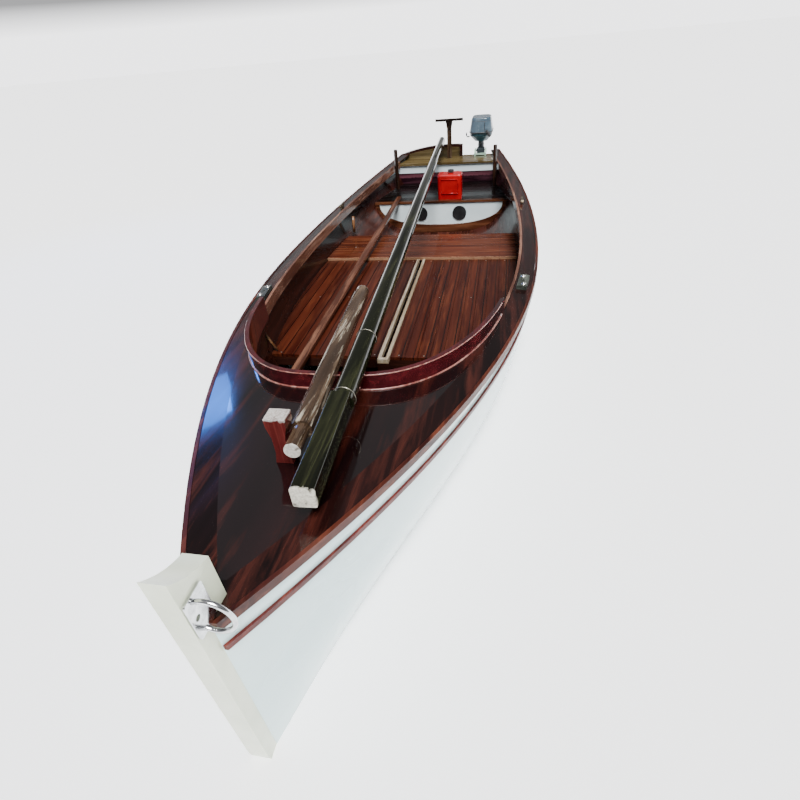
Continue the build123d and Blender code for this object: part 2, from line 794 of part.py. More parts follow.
crescent = []
for i in range(21):
    across = 1 - i / 10
    dip = (1 - abs(across) ** CRESCENT_CURVE) ** (1 / CRESCENT_CURVE)
    crescent.append((CRESCENT_HALF * across, BENCH_TOP - BENCH - (BENCH_TOP - BENCH - CRESCENT_LOW) * dip))
with BuildPart() as bulkhead_moulding:
    add(block(BULKHEAD_X, BULKHEAD_X + MOULDING, -2000, 2000, -400, BENCH_TOP - BENCH))
    with BuildSketch(station_plane(BULKHEAD_X)):
        with BuildLine():
            Spline(*crescent)
            Polyline(crescent[-1], (-CRESCENT_HALF, BENCH_TOP), (CRESCENT_HALF, BENCH_TOP), crescent[0])
        make_face()
    extrude(amount=MOULDING, mode=Mode.SUBTRACT)
    add(room_form, mode=Mode.INTERSECT)
finish(bulkhead_moulding, "bulkhead_moulding")

cap_aft = BULKHEAD_X + 8 - CAP_DEPTH
with BuildPart() as bulkhead_cap:
    add(block(cap_aft, BULKHEAD_X + 8, -2000, 2000, BENCH_TOP - BENCH, BENCH_TOP))
    add(room_form, mode=Mode.INTERSECT)
finish(bulkhead_cap, "bulkhead_cap")

with BuildPart() as stern_bench:
    add(block(RISER_X - PANEL, cap_aft, -2000, 2000, BENCH_TOP - BENCH, BENCH_TOP))
    add(room_form, mode=Mode.INTERSECT)
finish(stern_bench, "stern_bench")

with BuildPart() as bench_riser:
    add(block(RISER_X - PANEL, RISER_X, -2000, 2000, BENCH_TOP, RISER_TOP))
    add(room_form, mode=Mode.INTERSECT)
finish(bench_riser, "bench_riser")

with BuildPart() as stern_fascia:
    add(block(RISER_X - PANEL, RISER_X + 6, -2000, 2000, RISER_TOP, FASCIA_TOP))
    add(room_form, mode=Mode.INTERSECT)
finish(stern_fascia, "stern_fascia")

with BuildPart() as aft_deck:
    add(block(TRANSOM_FACE + TRANSOM, RISER_X + 18, -2000, 2000, FASCIA_TOP, FASCIA_TOP + AFT_DECK))
    add(room_form, mode=Mode.INTERSECT)
    add(
        block(
            TRANSOM_FACE + TRANSOM,
            TRANSOM_FACE + TRANSOM + CLAMP_WELL,
            MOTOR_Y - CLAMP_HALF - 10,
            MOTOR_Y + CLAMP_HALF + 10,
            0,
            900,
        ),
        mode=Mode.SUBTRACT,
    )
finish(aft_deck, "aft_deck")

# ================================================================ posts and fittings
for side_name, side in (("port", 1), ("starboard", -1)):
    with BuildPart() as quarter_post:
        with BuildSketch(Plane.XY.offset(BENCH_TOP)):
            with Locations((POST_X, side * POST_Y)):
                Circle(POST_RADIUS)
        extrude(amount=POST_TOP - BENCH_TOP)
        fillet(quarter_post.faces().sort_by(Axis.Z)[-1].edges(), radius=8)
    finish(quarter_post, "quarter_post_" + side_name)

with BuildPart() as boom_crutch:
    with BuildSketch(Plane.XY.offset(FASCIA_TOP + AFT_DECK)):
        with Locations((CRUTCH_X, CRUTCH_Y)):
            Rectangle(26, 44)
    extrude(amount=CRUTCH_TOP - CRUTCH_BAR - FASCIA_TOP - AFT_DECK)
    with BuildSketch(station_plane(CRUTCH_X - 12)):
        with BuildLine():
            Polyline(
                (CRUTCH_Y - 18, CRUTCH_TOP - 110),
                (CRUTCH_Y + 18, CRUTCH_TOP - 110),
                (CRUTCH_Y + 34, CRUTCH_TOP - 18),
                (CRUTCH_Y - 34, CRUTCH_TOP - 18),
                close=True,
            )
        make_face()
    extrude(amount=24)
    with BuildSketch(Plane.XZ.offset(-CRUTCH_Y - CRUTCH_LENGTH / 2)):
        with Locations((CRUTCH_X, CRUTCH_TOP - CRUTCH_BAR / 2)):
            RectangleRounded(26, CRUTCH_BAR, 7)
    extrude(amount=CRUTCH_LENGTH)
finish(boom_crutch, "boom_crutch")

bitt_foot = deck_top(BITT_X + BITT_DEPTH / 2, 0) + BEDDING
with BuildPart() as mooring_bitt:
    levels = ((0, 54), (38, 40), (90, 40), (BITT_HEIGHT - 30, 60), (BITT_HEIGHT, 62))
    for (z1, w1), (z2, w2) in zip(levels, levels[1:]):
        with BuildSketch(Plane.XY.offset(bitt_foot + z1)):
            with Locations((BITT_X, BITT_Y)):
                Rectangle(BITT_DEPTH, w1)
        with BuildSketch(Plane.XY.offset(bitt_foot + z2)):
            with Locations((BITT_X, BITT_Y)):
                Rectangle(BITT_DEPTH, w2)
        loft(ruled=True)
finish(mooring_bitt, "mooring_bitt")



def pad_outline(share):
    middle = half_breadth(share) - PAD_INSET
    near, far = middle - PAD_WIDTH / 2, middle + PAD_WIDTH / 2
    x = x_at(share)
    low_near, low_far = deck_top(x, near) + BEDDING, deck_top(x, far) + BEDDING
    return [(near, low_near), (near, low_near + PAD_HEIGHT), (far, low_far + PAD_HEIGHT), (far, low_far)]


for side_name, side in (("port", 1), ("starboard", -1)):
    pad_x = PAD_X[side_name]
    pad_shares = [share_at(pad_x + PAD_LENGTH * (0.5 - i / 3)) for i in range(4)]
    with BuildPart() as rowlock_pad:
        add(strip(pad_outline, pad_shares))
        if side < 0:
            mirror(about=Plane.XZ, mode=Mode.REPLACE)
        with BuildSketch(Plane.XY.offset(400)):
            with Locations((pad_x, side * (half_breadth(share_at(pad_x)) - PAD_INSET))):
                Circle(ROWLOCK_RADIUS)
        extrude(amount=300, mode=Mode.SUBTRACT)
    finish(rowlock_pad, "rowlock_pad_" + side_name)

with BuildPart() as stern_cleats:
    for side in (1, -1):
        cleat_y = side * (half_breadth(share_at(CLEAT_X)) - 45)
        cleat_z = deck_top(CLEAT_X, abs(cleat_y) - 12) + 2 * BEDDING
        with BuildSketch(Plane.XY.offset(cleat_z)):
            with Locations((CLEAT_X, cleat_y)):
                RectangleRounded(56, 20, 6)
        extrude(amount=16)
        with BuildSketch(Plane.XZ.offset(-cleat_y - 8)):
            with Locations((CLEAT_X, cleat_z + 22)):
                RectangleRounded(120, 14, 6)
        extrude(amount=16)
finish(stern_cleats, "stern_cleats")

# ================================================================ spars, laid on the boat
cap_y = MAST_TIP[1]
cap_height = TRANSOM_CROWN + TRANSOM_CAP
cap_height -= (TRANSOM_CROWN - TRANSOM_SHOULDER) * (cap_y / stern_half) ** 2
mast_run = COAMING_FRONT - TRANSOM_FACE
front_rest = COAMING_TOP + MAST_RADIUS + REST_GAP
aft_rest = cap_height + MAST_TIP_RADIUS + REST_GAP + 0.8
mast_slope = (front_rest - aft_rest) / mast_run


def mast_height(x):
    return aft_rest + (x - TRANSOM_FACE) * mast_slope


mast_plane, mast_length = rotated_plane(
    (MAST_HEEL[0], MAST_HEEL[1], mast_height(MAST_HEEL[0])),
    (MAST_TIP[0], MAST_TIP[1], mast_height(MAST_TIP[0])),
)
with BuildPart() as mast:
    with BuildSketch(mast_plane):
        with Locations(MAST_SQUARE_SHIFT):
            RectangleRounded(MAST_SQUARE, MAST_SQUARE, 5)
    extrude(amount=MAST_SQUARE_LENGTH + 5)
    with BuildSketch(mast_plane.offset(MAST_SQUARE_LENGTH)):
        Circle(MAST_RADIUS)
    with BuildSketch(mast_plane.offset(mast_length)):
        Circle(MAST_TIP_RADIUS)
    loft()
    fillet(mast.faces().sort_by(Axis.X)[0].edges(), radius=12)
finish(mast, "mast")

spar_rest = COAMING_TOP + BOWSPRIT_RADIUS + REST_GAP
front_x, front_y, front_z = BOWSPRIT_FRONT
back_x, back_y = BOWSPRIT_BACK
spar_slope = (front_z - spar_rest) / (front_x - COAMING_FRONT)
back_z = spar_rest + (back_x - COAMING_FRONT) * spar_slope
spar_plane, spar_length = rotated_plane((front_x, front_y, front_z), (back_x, back_y, back_z))
with BuildPart() as bowsprit:
    with BuildSketch(spar_plane):
        Circle(BOWSPRIT_TENON)
    extrude(amount=BOWSPRIT_TENON_LENGTH)
    with BuildSketch(spar_plane.offset(BOWSPRIT_TENON_LENGTH)):
        RegularPolygon(BOWSPRIT_RADIUS, 8, major_radius=False, rotation=22.5)
    extrude(amount=spar_length - BOWSPRIT_TENON_LENGTH - 60)
    with BuildSketch(spar_plane.offset(spar_length - 60)):
        Circle(BOWSPRIT_RADIUS - 2)
    extrude(amount=60)
    fillet(bowsprit.faces().sort_by(Axis.X)[0].edges(), radius=20)
finish(bowsprit, "bowsprit")

oar_x, oar_y = OAR_FRONT
tail_x, tail_y = OAR_BACK
floor_rest = FLOOR_TOP + OAR_HEIGHT / 2 + REST_GAP
cap_rest = BENCH_TOP + OAR_HEIGHT / 2 + REST_GAP
oar_slope = (cap_rest - floor_rest) / (FLOOR_FRONT - BULKHEAD_X - 8)
oar_plane, oar_length = rotated_plane(
    (oar_x, oar_y, floor_rest - oar_slope * (oar_x - FLOOR_FRONT)),
    (tail_x, tail_y, floor_rest - oar_slope * (tail_x - FLOOR_FRONT)),
)
with BuildPart() as spare_spar:
    with BuildSketch(oar_plane):
        RectangleRounded(OAR_WIDTH, OAR_HEIGHT, 5)
    extrude(amount=oar_length)
finish(spare_spar, "spare_spar")

# ================================================================ fuel can
can_low = BENCH_TOP + REST_GAP
with BuildPart() as fuel_can:
    with BuildSketch(Plane.XY.offset(can_low)):
        with Locations((CAN_X, CAN_Y)):
            RectangleRounded(CAN_DEPTH, CAN_WIDTH, 28)
    extrude(amount=CAN_HEIGHT)
    fillet(fuel_can.faces().sort_by(Axis.Z)[-1].edges(), radius=16)
    with BuildSketch(Plane.XY.offset(can_low + CAN_HEIGHT - 2)):
        with Locations((CAN_X + 20, CAN_Y + 10)):
            Circle(24)
    extrude(amount=34)
finish(fuel_can, "fuel_can")

# ================================================================ rudder
pin_line = TRANSOM_FACE - RUDDER_PIN_X
with BuildPart() as gudgeons:
    for z in GUDGEON_HEIGHTS:
        with BuildSketch(Plane.XY.offset(z)):
            with Locations((pin_line + RUDDER_PIN_X / 2, 0)):
                Rectangle(RUDDER_PIN_X, 26)
            with Locations((pin_line, 0)):
                Circle(13)
            with Locations((pin_line, 0)):
                Circle(PINTLE_RADIUS + PINTLE_GAP, mode=Mode.SUBTRACT)
        extrude(amount=GUDGEON)
finish(gudgeons, "gudgeons")

rudder_front = pin_line - RUDDER_STOCK_GAP
rudder_back = pin_line - RUDDER_CHORD
with BuildPart() as rudder:
    with BuildSketch(Plane.XZ.offset(-RUDDER_THICKNESS / 2)):
        with BuildLine():
            Polyline(
                (rudder_front, RUDDER_TOP),
                (rudder_front - 75, RUDDER_TOP),
                (rudder_front - 75, 180),
                (rudder_back, 60),
                (rudder_back, RUDDER_FOOT + 40),
                (rudder_back + 40, RUDDER_FOOT),
                (rudder_front, RUDDER_FOOT),
                close=True,
            )
        make_face()
    extrude(amount=RUDDER_THICKNESS)
finish(rudder, "rudder")

with BuildPart() as pintles:
    for z in GUDGEON_HEIGHTS:
        strap_z = z + GUDGEON + 5
        with BuildSketch(Plane.XY.offset(z - 12)):
            with Locations((pin_line, 0)):
                Circle(PINTLE_RADIUS)
        extrude(amount=GUDGEON + 17)
        with BuildSketch(Plane.XY.offset(strap_z)):
            with Locations((pin_line, 0)):
                Circle(13)
            with Locations((pin_line - 50, 0)):
                Rectangle(100, RUDDER_THICKNESS + 8)
        extrude(amount=26)
    add(rudder.part, mode=Mode.SUBTRACT)
finish(pintles, "pintles")

# ================================================================ outboard motor
tilt_x = TRANSOM_FACE - MOTOR_TILT_X
steer_x = TRANSOM_FACE - MOTOR_STEER_X


def blade_side(turn):
    """Sideways part of a blade's chord direction, for a blade pointing at the given turn."""
    lean = math.sin(math.radians(35))
    return lean * math.cos(math.radians(turn)), -lean * math.sin(math.radians(turn))


def side_profile(points, y1, y2):
    """Upright plate with its outline in X and Z, from y1 to y2."""
    with BuildPart() as plate:
        with BuildSketch(Plane.XZ.offset(-y1)):
            with BuildLine():
                Polyline(*points, close=True)
            make_face()
        extrude(amount=-(y2 - y1))
    return plate.part


jaw_x = TRANSOM_FACE + TRANSOM + 1
clamp_points = [
    (jaw_x + 22, NOTCH_SILL + 18),
    (jaw_x + 22, NOTCH_SILL - 75),
    (jaw_x, NOTCH_SILL - 75),
    (jaw_x, NOTCH_SILL + 1),
    (TRANSOM_FACE - 1, NOTCH_SILL + 1),
    (TRANSOM_FACE - 1, NOTCH_SILL - 140),
    (TRANSOM_FACE - 26, NOTCH_SILL - 140),
    (tilt_x - 20, MOTOR_TILT_Z - 20),
    (tilt_x - 20, MOTOR_TILT_Z + 20),
    (TRANSOM_FACE - 10, MOTOR_TILT_Z + 20),
]
with BuildPart() as motor_clamp:
    for y in (MOTOR_Y - CLAMP_HALF, MOTOR_Y + CLAMP_HALF - CLAMP_CHEEK):
        add(side_profile(clamp_points, y, y + CLAMP_CHEEK))
    with BuildSketch(station_plane(TRANSOM_FACE - 12)):
        with Locations((MOTOR_Y, NOTCH_SILL - 110)):
            Rectangle(2 * CLAMP_HALF, 60)
    extrude(amount=11)
    with BuildSketch(station_plane(jaw_x + 4)):
        with Locations((MOTOR_Y, NOTCH_SILL + 9)):
            Rectangle(2 * CLAMP_HALF, 16)
    extrude(amount=18)
    with BuildSketch(Plane.XZ.offset(-(MOTOR_Y - CLAMP_HALF))):
        with Locations((tilt_x, MOTOR_TILT_Z)):
            Circle(TILT_PIN_RADIUS + PINTLE_GAP)
    extrude(amount=-2 * CLAMP_HALF, mode=Mode.SUBTRACT)
finish(motor_clamp, "motor_clamp")

swivel_half = CLAMP_HALF - CLAMP_CHEEK - MOVING_GAP
with BuildPart() as motor_swivel:
    with BuildSketch(Plane.XY.offset(MOTOR_TILT_Z - 65)):
        with Locations(((steer_x + tilt_x + 18) / 2, MOTOR_Y)):
            Rectangle(tilt_x + 18 - steer_x, 2 * swivel_half)
    extrude(amount=83)
    with BuildSketch(Plane.XY.offset(SWIVEL_LOW)):
        with Locations((steer_x, MOTOR_Y)):
            Circle(STEER_TUBE_RADIUS + 12)
    extrude(amount=SWIVEL_HIGH - SWIVEL_LOW)
    with BuildSketch(Plane.XZ.offset(-(MOTOR_Y - CLAMP_HALF))):
        with Locations((tilt_x, MOTOR_TILT_Z)):
            Circle(TILT_PIN_RADIUS)
    extrude(amount=-2 * CLAMP_HALF)
    with BuildSketch(Plane.XY.offset(SWIVEL_LOW)):
        with Locations((steer_x, MOTOR_Y)):
            Circle(STEER_TUBE_RADIUS + PINTLE_GAP)
    extrude(amount=SWIVEL_HIGH - SWIVEL_LOW, mode=Mode.SUBTRACT)
finish(motor_swivel, "motor_swivel")

leg_x = steer_x - LEG_BACK
arm_top = SWIVEL_HIGH + MOVING_GAP
arm_low = SWIVEL_LOW - MOVING_GAP
prop_x = steer_x - PROP_BACK
case_front = steer_x - 5
case_back = prop_x + PROP_HUB / 2 + MOVING_GAP
with BuildPart() as motor_leg:
    with BuildSketch(Plane.XY.offset(arm_low - 34)):
        with Locations((steer_x, MOTOR_Y)):
            Circle(STEER_TUBE_RADIUS)
    extrude(amount=arm_top + 20 - arm_low + 34)
    for z, thick in ((arm_low - 34, 34), (arm_top, 20)):
        with BuildSketch(Plane.XY.offset(z)):
            with Locations(((steer_x + leg_x) / 2, MOTOR_Y)):
                RectangleRounded(LEG_BACK + 60, 56, 20)
        extrude(amount=thick)
    with BuildSketch(Plane.XY.offset(PROP_Z + 95)):
        with Locations((leg_x, MOTOR_Y)):
            RectangleRounded(70, 54, 22)
    extrude(amount=arm_top + 20 - PROP_Z - 95)
    with BuildSketch(Plane.XY.offset(PROP_Z + 100)):
        with Locations((leg_x - 35, MOTOR_Y)):
            RectangleRounded(190, 104, 40)
    extrude(amount=8)
    with BuildSketch(Plane.XY.offset(PROP_Z)):
        with Locations((leg_x + 2, MOTOR_Y)):
            Ellipse(42, 13)
    extrude(amount=100)
    with BuildSketch(Plane.XZ.offset(-MOTOR_Y)):
        with BuildLine():
            Polyline((case_front, PROP_Z), (case_back, PROP_Z), (case_back, PROP_Z + 26), (leg_x, PROP_Z + 30))
            Spline(
                (leg_x, PROP_Z + 30),
                (case_front - 12, PROP_Z + 20),
                (case_front, PROP_Z),
                tangents=((1, 0), (0, -1)),
            )
        make_face()
    revolve(axis=Axis((0, MOTOR_Y, PROP_Z), (1, 0, 0)))
    with BuildSketch(Plane.XZ.offset(-MOTOR_Y - 4)):
        with BuildLine():
            Polyline(
                (leg_x + 40, PROP_Z - 20),
                (leg_x - 45, PROP_Z - 20),
                (leg_x - 38, PROP_Z - 116),
                (leg_x - 8, PROP_Z - 116),
                close=True,
            )
        make_face()
    extrude(amount=8)
    with BuildSketch(station_plane(prop_x - PROP_HUB / 2)):
        with Locations((MOTOR_Y, PROP_Z)):
            Circle(PROP_SHAFT)
    extrude(amount=case_back + 5 - prop_x + PROP_HUB / 2)
finish(motor_leg, "motor_leg")

head_x = steer_x - 55
with BuildPart() as motor_pan:
    with BuildSketch(Plane.XY.offset(arm_top + 20)):
        with Locations((head_x, MOTOR_Y)):
            RectangleRounded(210, 130, 55)
    with BuildSketch(Plane.XY.offset(PAN_TOP - 25)):
        with Locations((head_x, MOTOR_Y)):
            RectangleRounded(COWL_LENGTH - 10, COWL_WIDTH - 10, 66)
    loft()
    with BuildSketch(Plane.XY.offset(PAN_TOP - 25)):
        with Locations((head_x, MOTOR_Y)):
            RectangleRounded(COWL_LENGTH - 10, COWL_WIDTH - 10, 66)
    extrude(amount=25)
finish(motor_pan, "motor_pan")

with BuildPart() as motor_cowl:
    with BuildSketch(Plane.XY.offset(PAN_TOP)):
        with Locations((head_x, MOTOR_Y)):
            RectangleRounded(COWL_LENGTH, COWL_WIDTH, 70)
    with BuildSketch(Plane.XY.offset(COWL_TOP)):
        with Locations((head_x, MOTOR_Y)):
            RectangleRounded(COWL_LENGTH - 50, COWL_WIDTH - 42, 60)
    loft()
    fillet(motor_cowl.faces().sort_by(Axis.Z)[-1].edges(), radius=16)
finish(motor_cowl, "motor_cowl")

grip_x = head_x + COWL_LENGTH / 2 + GRIP_RADIUS + 1
grip_top = (grip_x, MOTOR_Y + GRIP_OUT, PAN_TOP + GRIP_RISE)
grip_low = (grip_x, MOTOR_Y + GRIP_REACH, PAN_TOP - GRIP_DROP)
grip_plane, grip_length = rotated_plane(grip_low, grip_top)
with BuildPart() as motor_grip:
    with BuildSketch(grip_plane):
        Circle(GRIP_RADIUS)
    extrude(amount=grip_length)
    with BuildSketch(grip_plane.offset(12)):
        Circle(7)
    extrude(amount=18)
finish(motor_grip, "motor_grip")

with BuildPart() as propeller:
    with BuildSketch(station_plane(prop_x - PROP_HUB / 2)):
        with Locations((MOTOR_Y, PROP_Z)):
            Circle(24)
    extrude(amount=PROP_HUB)
    for k in range(3):
        turn = 120 * k
        blade_plane = Plane(
            origin=(prop_x, MOTOR_Y, PROP_Z),
            x_dir=(math.cos(math.radians(35)), *blade_side(turn)),
            z_dir=(0, math.sin(math.radians(turn)), math.cos(math.radians(turn))),
        )
        with BuildSketch(blade_plane.offset(18)):
            RectangleRounded(34, 7, 3)
        with BuildSketch(blade_plane.offset(60)):
            RectangleRounded(58, 5, 2)
        with BuildSketch(blade_plane.offset(PROP_RADIUS - 2)):
            RectangleRounded(34, 3, 1)
        loft()
    with BuildSketch(station_plane(prop_x - PROP_HUB / 2)):
        with Locations((MOTOR_Y, PROP_Z)):
            Circle(PROP_SHAFT + PINTLE_GAP)
    extrude(amount=PROP_HUB, mode=Mode.SUBTRACT)
finish(propeller, "propeller")
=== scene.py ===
import math

import bmesh
import bpy
from mathutils import Matrix, Vector


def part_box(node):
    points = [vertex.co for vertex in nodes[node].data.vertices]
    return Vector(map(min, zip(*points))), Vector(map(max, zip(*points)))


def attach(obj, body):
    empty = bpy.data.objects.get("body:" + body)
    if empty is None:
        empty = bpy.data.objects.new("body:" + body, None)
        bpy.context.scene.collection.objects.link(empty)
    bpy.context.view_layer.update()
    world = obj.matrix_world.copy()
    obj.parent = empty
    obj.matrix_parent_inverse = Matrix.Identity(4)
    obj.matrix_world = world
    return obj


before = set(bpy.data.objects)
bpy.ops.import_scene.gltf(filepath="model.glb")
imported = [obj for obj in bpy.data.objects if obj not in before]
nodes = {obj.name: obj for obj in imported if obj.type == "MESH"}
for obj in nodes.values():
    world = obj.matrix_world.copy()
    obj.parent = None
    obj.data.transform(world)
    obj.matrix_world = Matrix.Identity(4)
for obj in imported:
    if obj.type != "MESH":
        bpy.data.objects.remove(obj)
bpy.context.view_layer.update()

# ---------------------------------------------------------------- hull planking and keel
# Wooden strakes filled, faired and painted in gloss white enamel with a cold tint,
# slightly uneven by hand brushing; the keel is painted with them.


def new_material(name):
    mat = bpy.data.materials.new(name)
    mat.use_nodes = True
    tree = mat.node_tree
    return mat, tree, tree.nodes["Principled BSDF"]


def make(tree, kind, **inputs):
    """Add a node and set its inputs: links from sockets, plain values as defaults."""
    node = tree.nodes.new(kind)
    for key, value in inputs.items():
        numbered = key[0] == "i" and key[1:].isdigit()
        socket = node.inputs[int(key[1:]) if numbered else key.replace("_", " ")]
        if isinstance(value, bpy.types.NodeSocket):
            tree.links.new(value, socket)
        else:
            socket.default_value = value
    return node


def noise(tree, scale, detail=6.0, rough=0.6, distort=0.0):
    """Noise over the row's own metres, stretched by a three-number scale."""
    place = make(tree, "ShaderNodeTexCoord").outputs["Object"]
    place = make(tree, "ShaderNodeMapping", Vector=place, Scale=scale).outputs["Vector"]
    return make(
        tree,
        "ShaderNodeTexNoise",
        Vector=place,
        Scale=1.0,
        Detail=detail,
        Roughness=rough,
        Distortion=distort,
    ).outputs["Fac"]


def span(tree, value, low, high, to_low=0.0, to_high=1.0):
    """Carry a value from one range to another, held at both ends."""
    ends = dict(From_Min=low, From_Max=high, To_Min=to_low, To_Max=to_high)
    return make(tree, "ShaderNodeMapRange", Value=value, **ends).outputs["Result"]


def blend(tree, share, a, b):
    """Mix colour a towards colour b by a share."""
    node = tree.nodes.new("ShaderNodeMix")
    node.data_type = "RGBA"
    for index, value in ((0, share), (6, a), (7, b)):
        if isinstance(value, bpy.types.NodeSocket):
            tree.links.new(value, node.inputs[index])
        elif index == 0:
            node.inputs[0].default_value = value
        else:
            node.inputs[index].default_value = (*value, 1.0)
    return node.outputs[2]


def raise_by(tree, shader, height, depth):
    """Press a height pattern into the surface, depth metres deep."""
    bump = make(tree, "ShaderNodeBump", Height=height, Distance=depth, Strength=1.0)
    tree.links.new(bump.outputs["Normal"], shader.inputs["Normal"])


def paint(name, colour, shade, patch=(0.9, 2.0, 2.5), rough=0.16, orange_peel=0.0006):
    """Brushed enamel: broad patches of a second shade, a little dirt and a soft uneven gloss."""
    mat, tree, shader = new_material(name)
    broad = span(tree, noise(tree, patch, 3.0), 0.35, 0.7)
    fine = span(tree, noise(tree, (14, 40, 60), 8.0), 0.5, 0.8)
    coat = blend(tree, broad, colour, shade)
    dirty = blend(tree, span(tree, fine, 0, 1, 0.0, 0.10), coat, (0.45, 0.47, 0.42))
    tree.links.new(dirty, shader.inputs["Base Color"])
    tree.links.new(span(tree, broad, 0, 1, rough, rough + 0.14), shader.inputs["Roughness"])
    shader.inputs["Coat Weight"].default_value = 0.4
    shader.inputs["Coat Roughness"].default_value = 0.08
    raise_by(tree, shader, noise(tree, (6, 18, 30), 2.0), orange_peel)
    return mat


def dress(mat, *names, edge=0.0):
    """Give CAD nodes a material and, where edge is set, a small worn round along their arrises."""
    for name in names:
        piece = nodes[name]
        piece.data.materials.clear()
        piece.data.materials.append(mat)
        if edge:
            round_off = piece.modifiers.new("arris", "BEVEL")
            round_off.width = edge
            round_off.segments = 2
            round_off.limit_method = "ANGLE"
            round_off.angle_limit = math.radians(40)
            round_off.harden_normals = True


HULL_WHITE = (0.60, 0.76, 0.76)
HULL_SHADE = (0.50, 0.68, 0.70)
hull_paint = paint("hull_enamel", HULL_WHITE, HULL_SHADE)
dress(hull_paint, "planking_port", "planking_starboard", "keel")

# ---------------------------------------------------------------- inner planking
# The inner skin laid over the frames, varnished dark red-brown.


SEAM_BLACK = (0.002, 0.001, 0.001)


def reckon(tree, operation, value, other=0.0):
    """One step of arithmetic between node values."""
    node = make(tree, "ShaderNodeMath", i0=value, i1=other)
    node.operation = operation
    return node.outputs[0]


def coordinate(tree, kind, axis):
    """One axis of the object's own places or normals."""
    source = make(tree, "ShaderNodeTexCoord").outputs[kind]
    return make(tree, "ShaderNodeSeparateXYZ", Vector=source).outputs[axis]


def plank_seams(tree, colour, dark, pitch, first, width):
    """Dark joints between planks laid along X, each plank with its own tone."""
    away = reckon(tree, "ADD", coordinate(tree, "Object", "Y"), first)
    planks = span(tree, away, -100 * pitch, 100 * pitch, 0, 200)
    tone = make(tree, "ShaderNodeTexWhiteNoise")
    tone.noise_dimensions = "1D"
    tree.links.new(reckon(tree, "FLOOR", planks), tone.inputs["W"])
    colour = blend(tree, span(tree, tone.outputs["Value"], 0, 1, 0.0, 0.5), colour, dark)
    gap = reckon(tree, "PINGPONG", reckon(tree, "FRACT", planks), 0.5)
    joint = span(tree, gap, 0.5 * width / pitch, width / pitch, 1, 0)
    return blend(tree, joint, colour, SEAM_BLACK)


def wood(
    name,
    dark,
    mid,
    light,
    along="X",
    fine=1.0,
    gloss=0.10,
    coat=1.0,
    figure=(0.36, 0.66),
    worn=None,
    worn_from=0.66,
    depth=0.0004,
    shine=0.35,
    zones=(),
    seams=None,
    facing_aft=None,
):
    """Varnished wood: stretched grain, broad figure, pores, uneven gloss and, where given, worn patches.
    A zone is (axis, from, to, colour, shade): a different colour past a place along an axis; some zones are a
    real finish, others a painted highlight. Seams are (pitch, first, width). facing_aft is a colour for the
    faces that look aft."""
    mat, tree, shader = new_material(name)
    long, across = 1.6 * fine, 26.0 * fine
    size = {"X": (long, across, across), "Y": (across, long, across), "Z": (across, across, long)}[along]
    broad = noise(tree, tuple(0.28 * s for s in size), 3.0, 0.5, 0.6)
    grain = noise(tree, size, 9.0, 0.62, 0.4)
    pores = noise(tree, tuple(5.0 * s for s in size), 4.0, 0.7)
    colour = blend(tree, span(tree, broad, *figure), dark, mid)
    colour = blend(tree, span(tree, grain, 0.48, 0.72), colour, light)
    colour = blend(tree, span(tree, pores, 0.60, 0.72, 0.0, 0.55), colour, tuple(0.35 * c for c in dark))
    if seams:
        colour = plank_seams(tree, colour, dark, *seams)
    if facing_aft:
        aft_face = span(tree, coordinate(tree, "Normal", "X"), -0.3, -0.5)
        colour = blend(tree, aft_face, colour, facing_aft)
    for axis, start, end, finish_and_highlight, shade in zones:
        ragged = span(tree, noise(tree, (60, 60, 60), 6.0), 0.3, 0.7, start - end, end - start)
        place = reckon(tree, "ADD", coordinate(tree, "Object", axis), ragged)
        tint = blend(tree, span(tree, pores, 0.4, 0.7), finish_and_highlight, shade)
        colour = blend(tree, span(tree, place, start, end), colour, tint)
    if worn:
        patches = noise(tree, tuple(0.5 * s for s in size), 10.0, 0.72)
        mask = span(tree, patches, worn_from - 0.05, worn_from + 0.03)
        colour = blend(tree, mask, colour, worn)
        tree.links.new(span(tree, mask, 0, 1, gloss, 0.55), shader.inputs["Roughness"])
        tree.links.new(span(tree, mask, 0, 1, coat, 0.05), shader.inputs["Coat Weight"])
    else:
        tree.links.new(span(tree, broad, 0.3, 0.7, gloss, gloss + 0.16), shader.inputs["Roughness"])
        shader.inputs["Coat Weight"].default_value = coat
    tree.links.new(colour, shader.inputs["Base Color"])
    shader.inputs["Coat Roughness"].default_value = 0.05
    shader.inputs["Specular IOR Level"].default_value = shine
    raise_by(tree, shader, grain, depth)
    return mat


inside = wood(
    "inner_varnish",
    (0.012, 0.003, 0.002),
    (0.035, 0.009, 0.006),
    (0.075, 0.020, 0.012),
    gloss=0.2,
    coat=0.3,
    shine=0.2,
)
dress(inside, "ceiling_planking")

# ---------------------------------------------------------------- stem post
# Grown oak stem under the same enamel, cut hollow on top. It is coloured olive cream, darker than the hull's
# white, as painted shade for its shaded port face and hollow top.
stem_paint_with_shade = paint("stem_enamel_painted_shade", (0.66, 0.70, 0.54), (0.52, 0.57, 0.42), patch=(6, 6, 5), rough=0.3)
dress(stem_paint_with_shade, "stem_post", edge=0.004)

# ---------------------------------------------------------------- rub rail and lower strip
# Bent hardwood strips screwed along the sheer and below it, varnished brown.
rail_wood = wood(
    "rail_varnish",
    (0.020, 0.004, 0.003),
    (0.060, 0.014, 0.008),
    (0.11, 0.030, 0.016),
    fine=1.4,
    gloss=0.3,
    coat=0.1,
    shine=0.15,
)
dress(rail_wood, "rub_rail_port", "rub_rail_starboard", edge=0.003)
strip_wood = wood(
    "strip_varnish",
    (0.035, 0.006, 0.005),
    (0.085, 0.014, 0.012),
    (0.14, 0.030, 0.022),
    fine=1.4,
    gloss=0.3,
    coat=0.1,
    shine=0.15,
)
dress(strip_wood, "lower_strip_port", "lower_strip_starboard", edge=0.003)

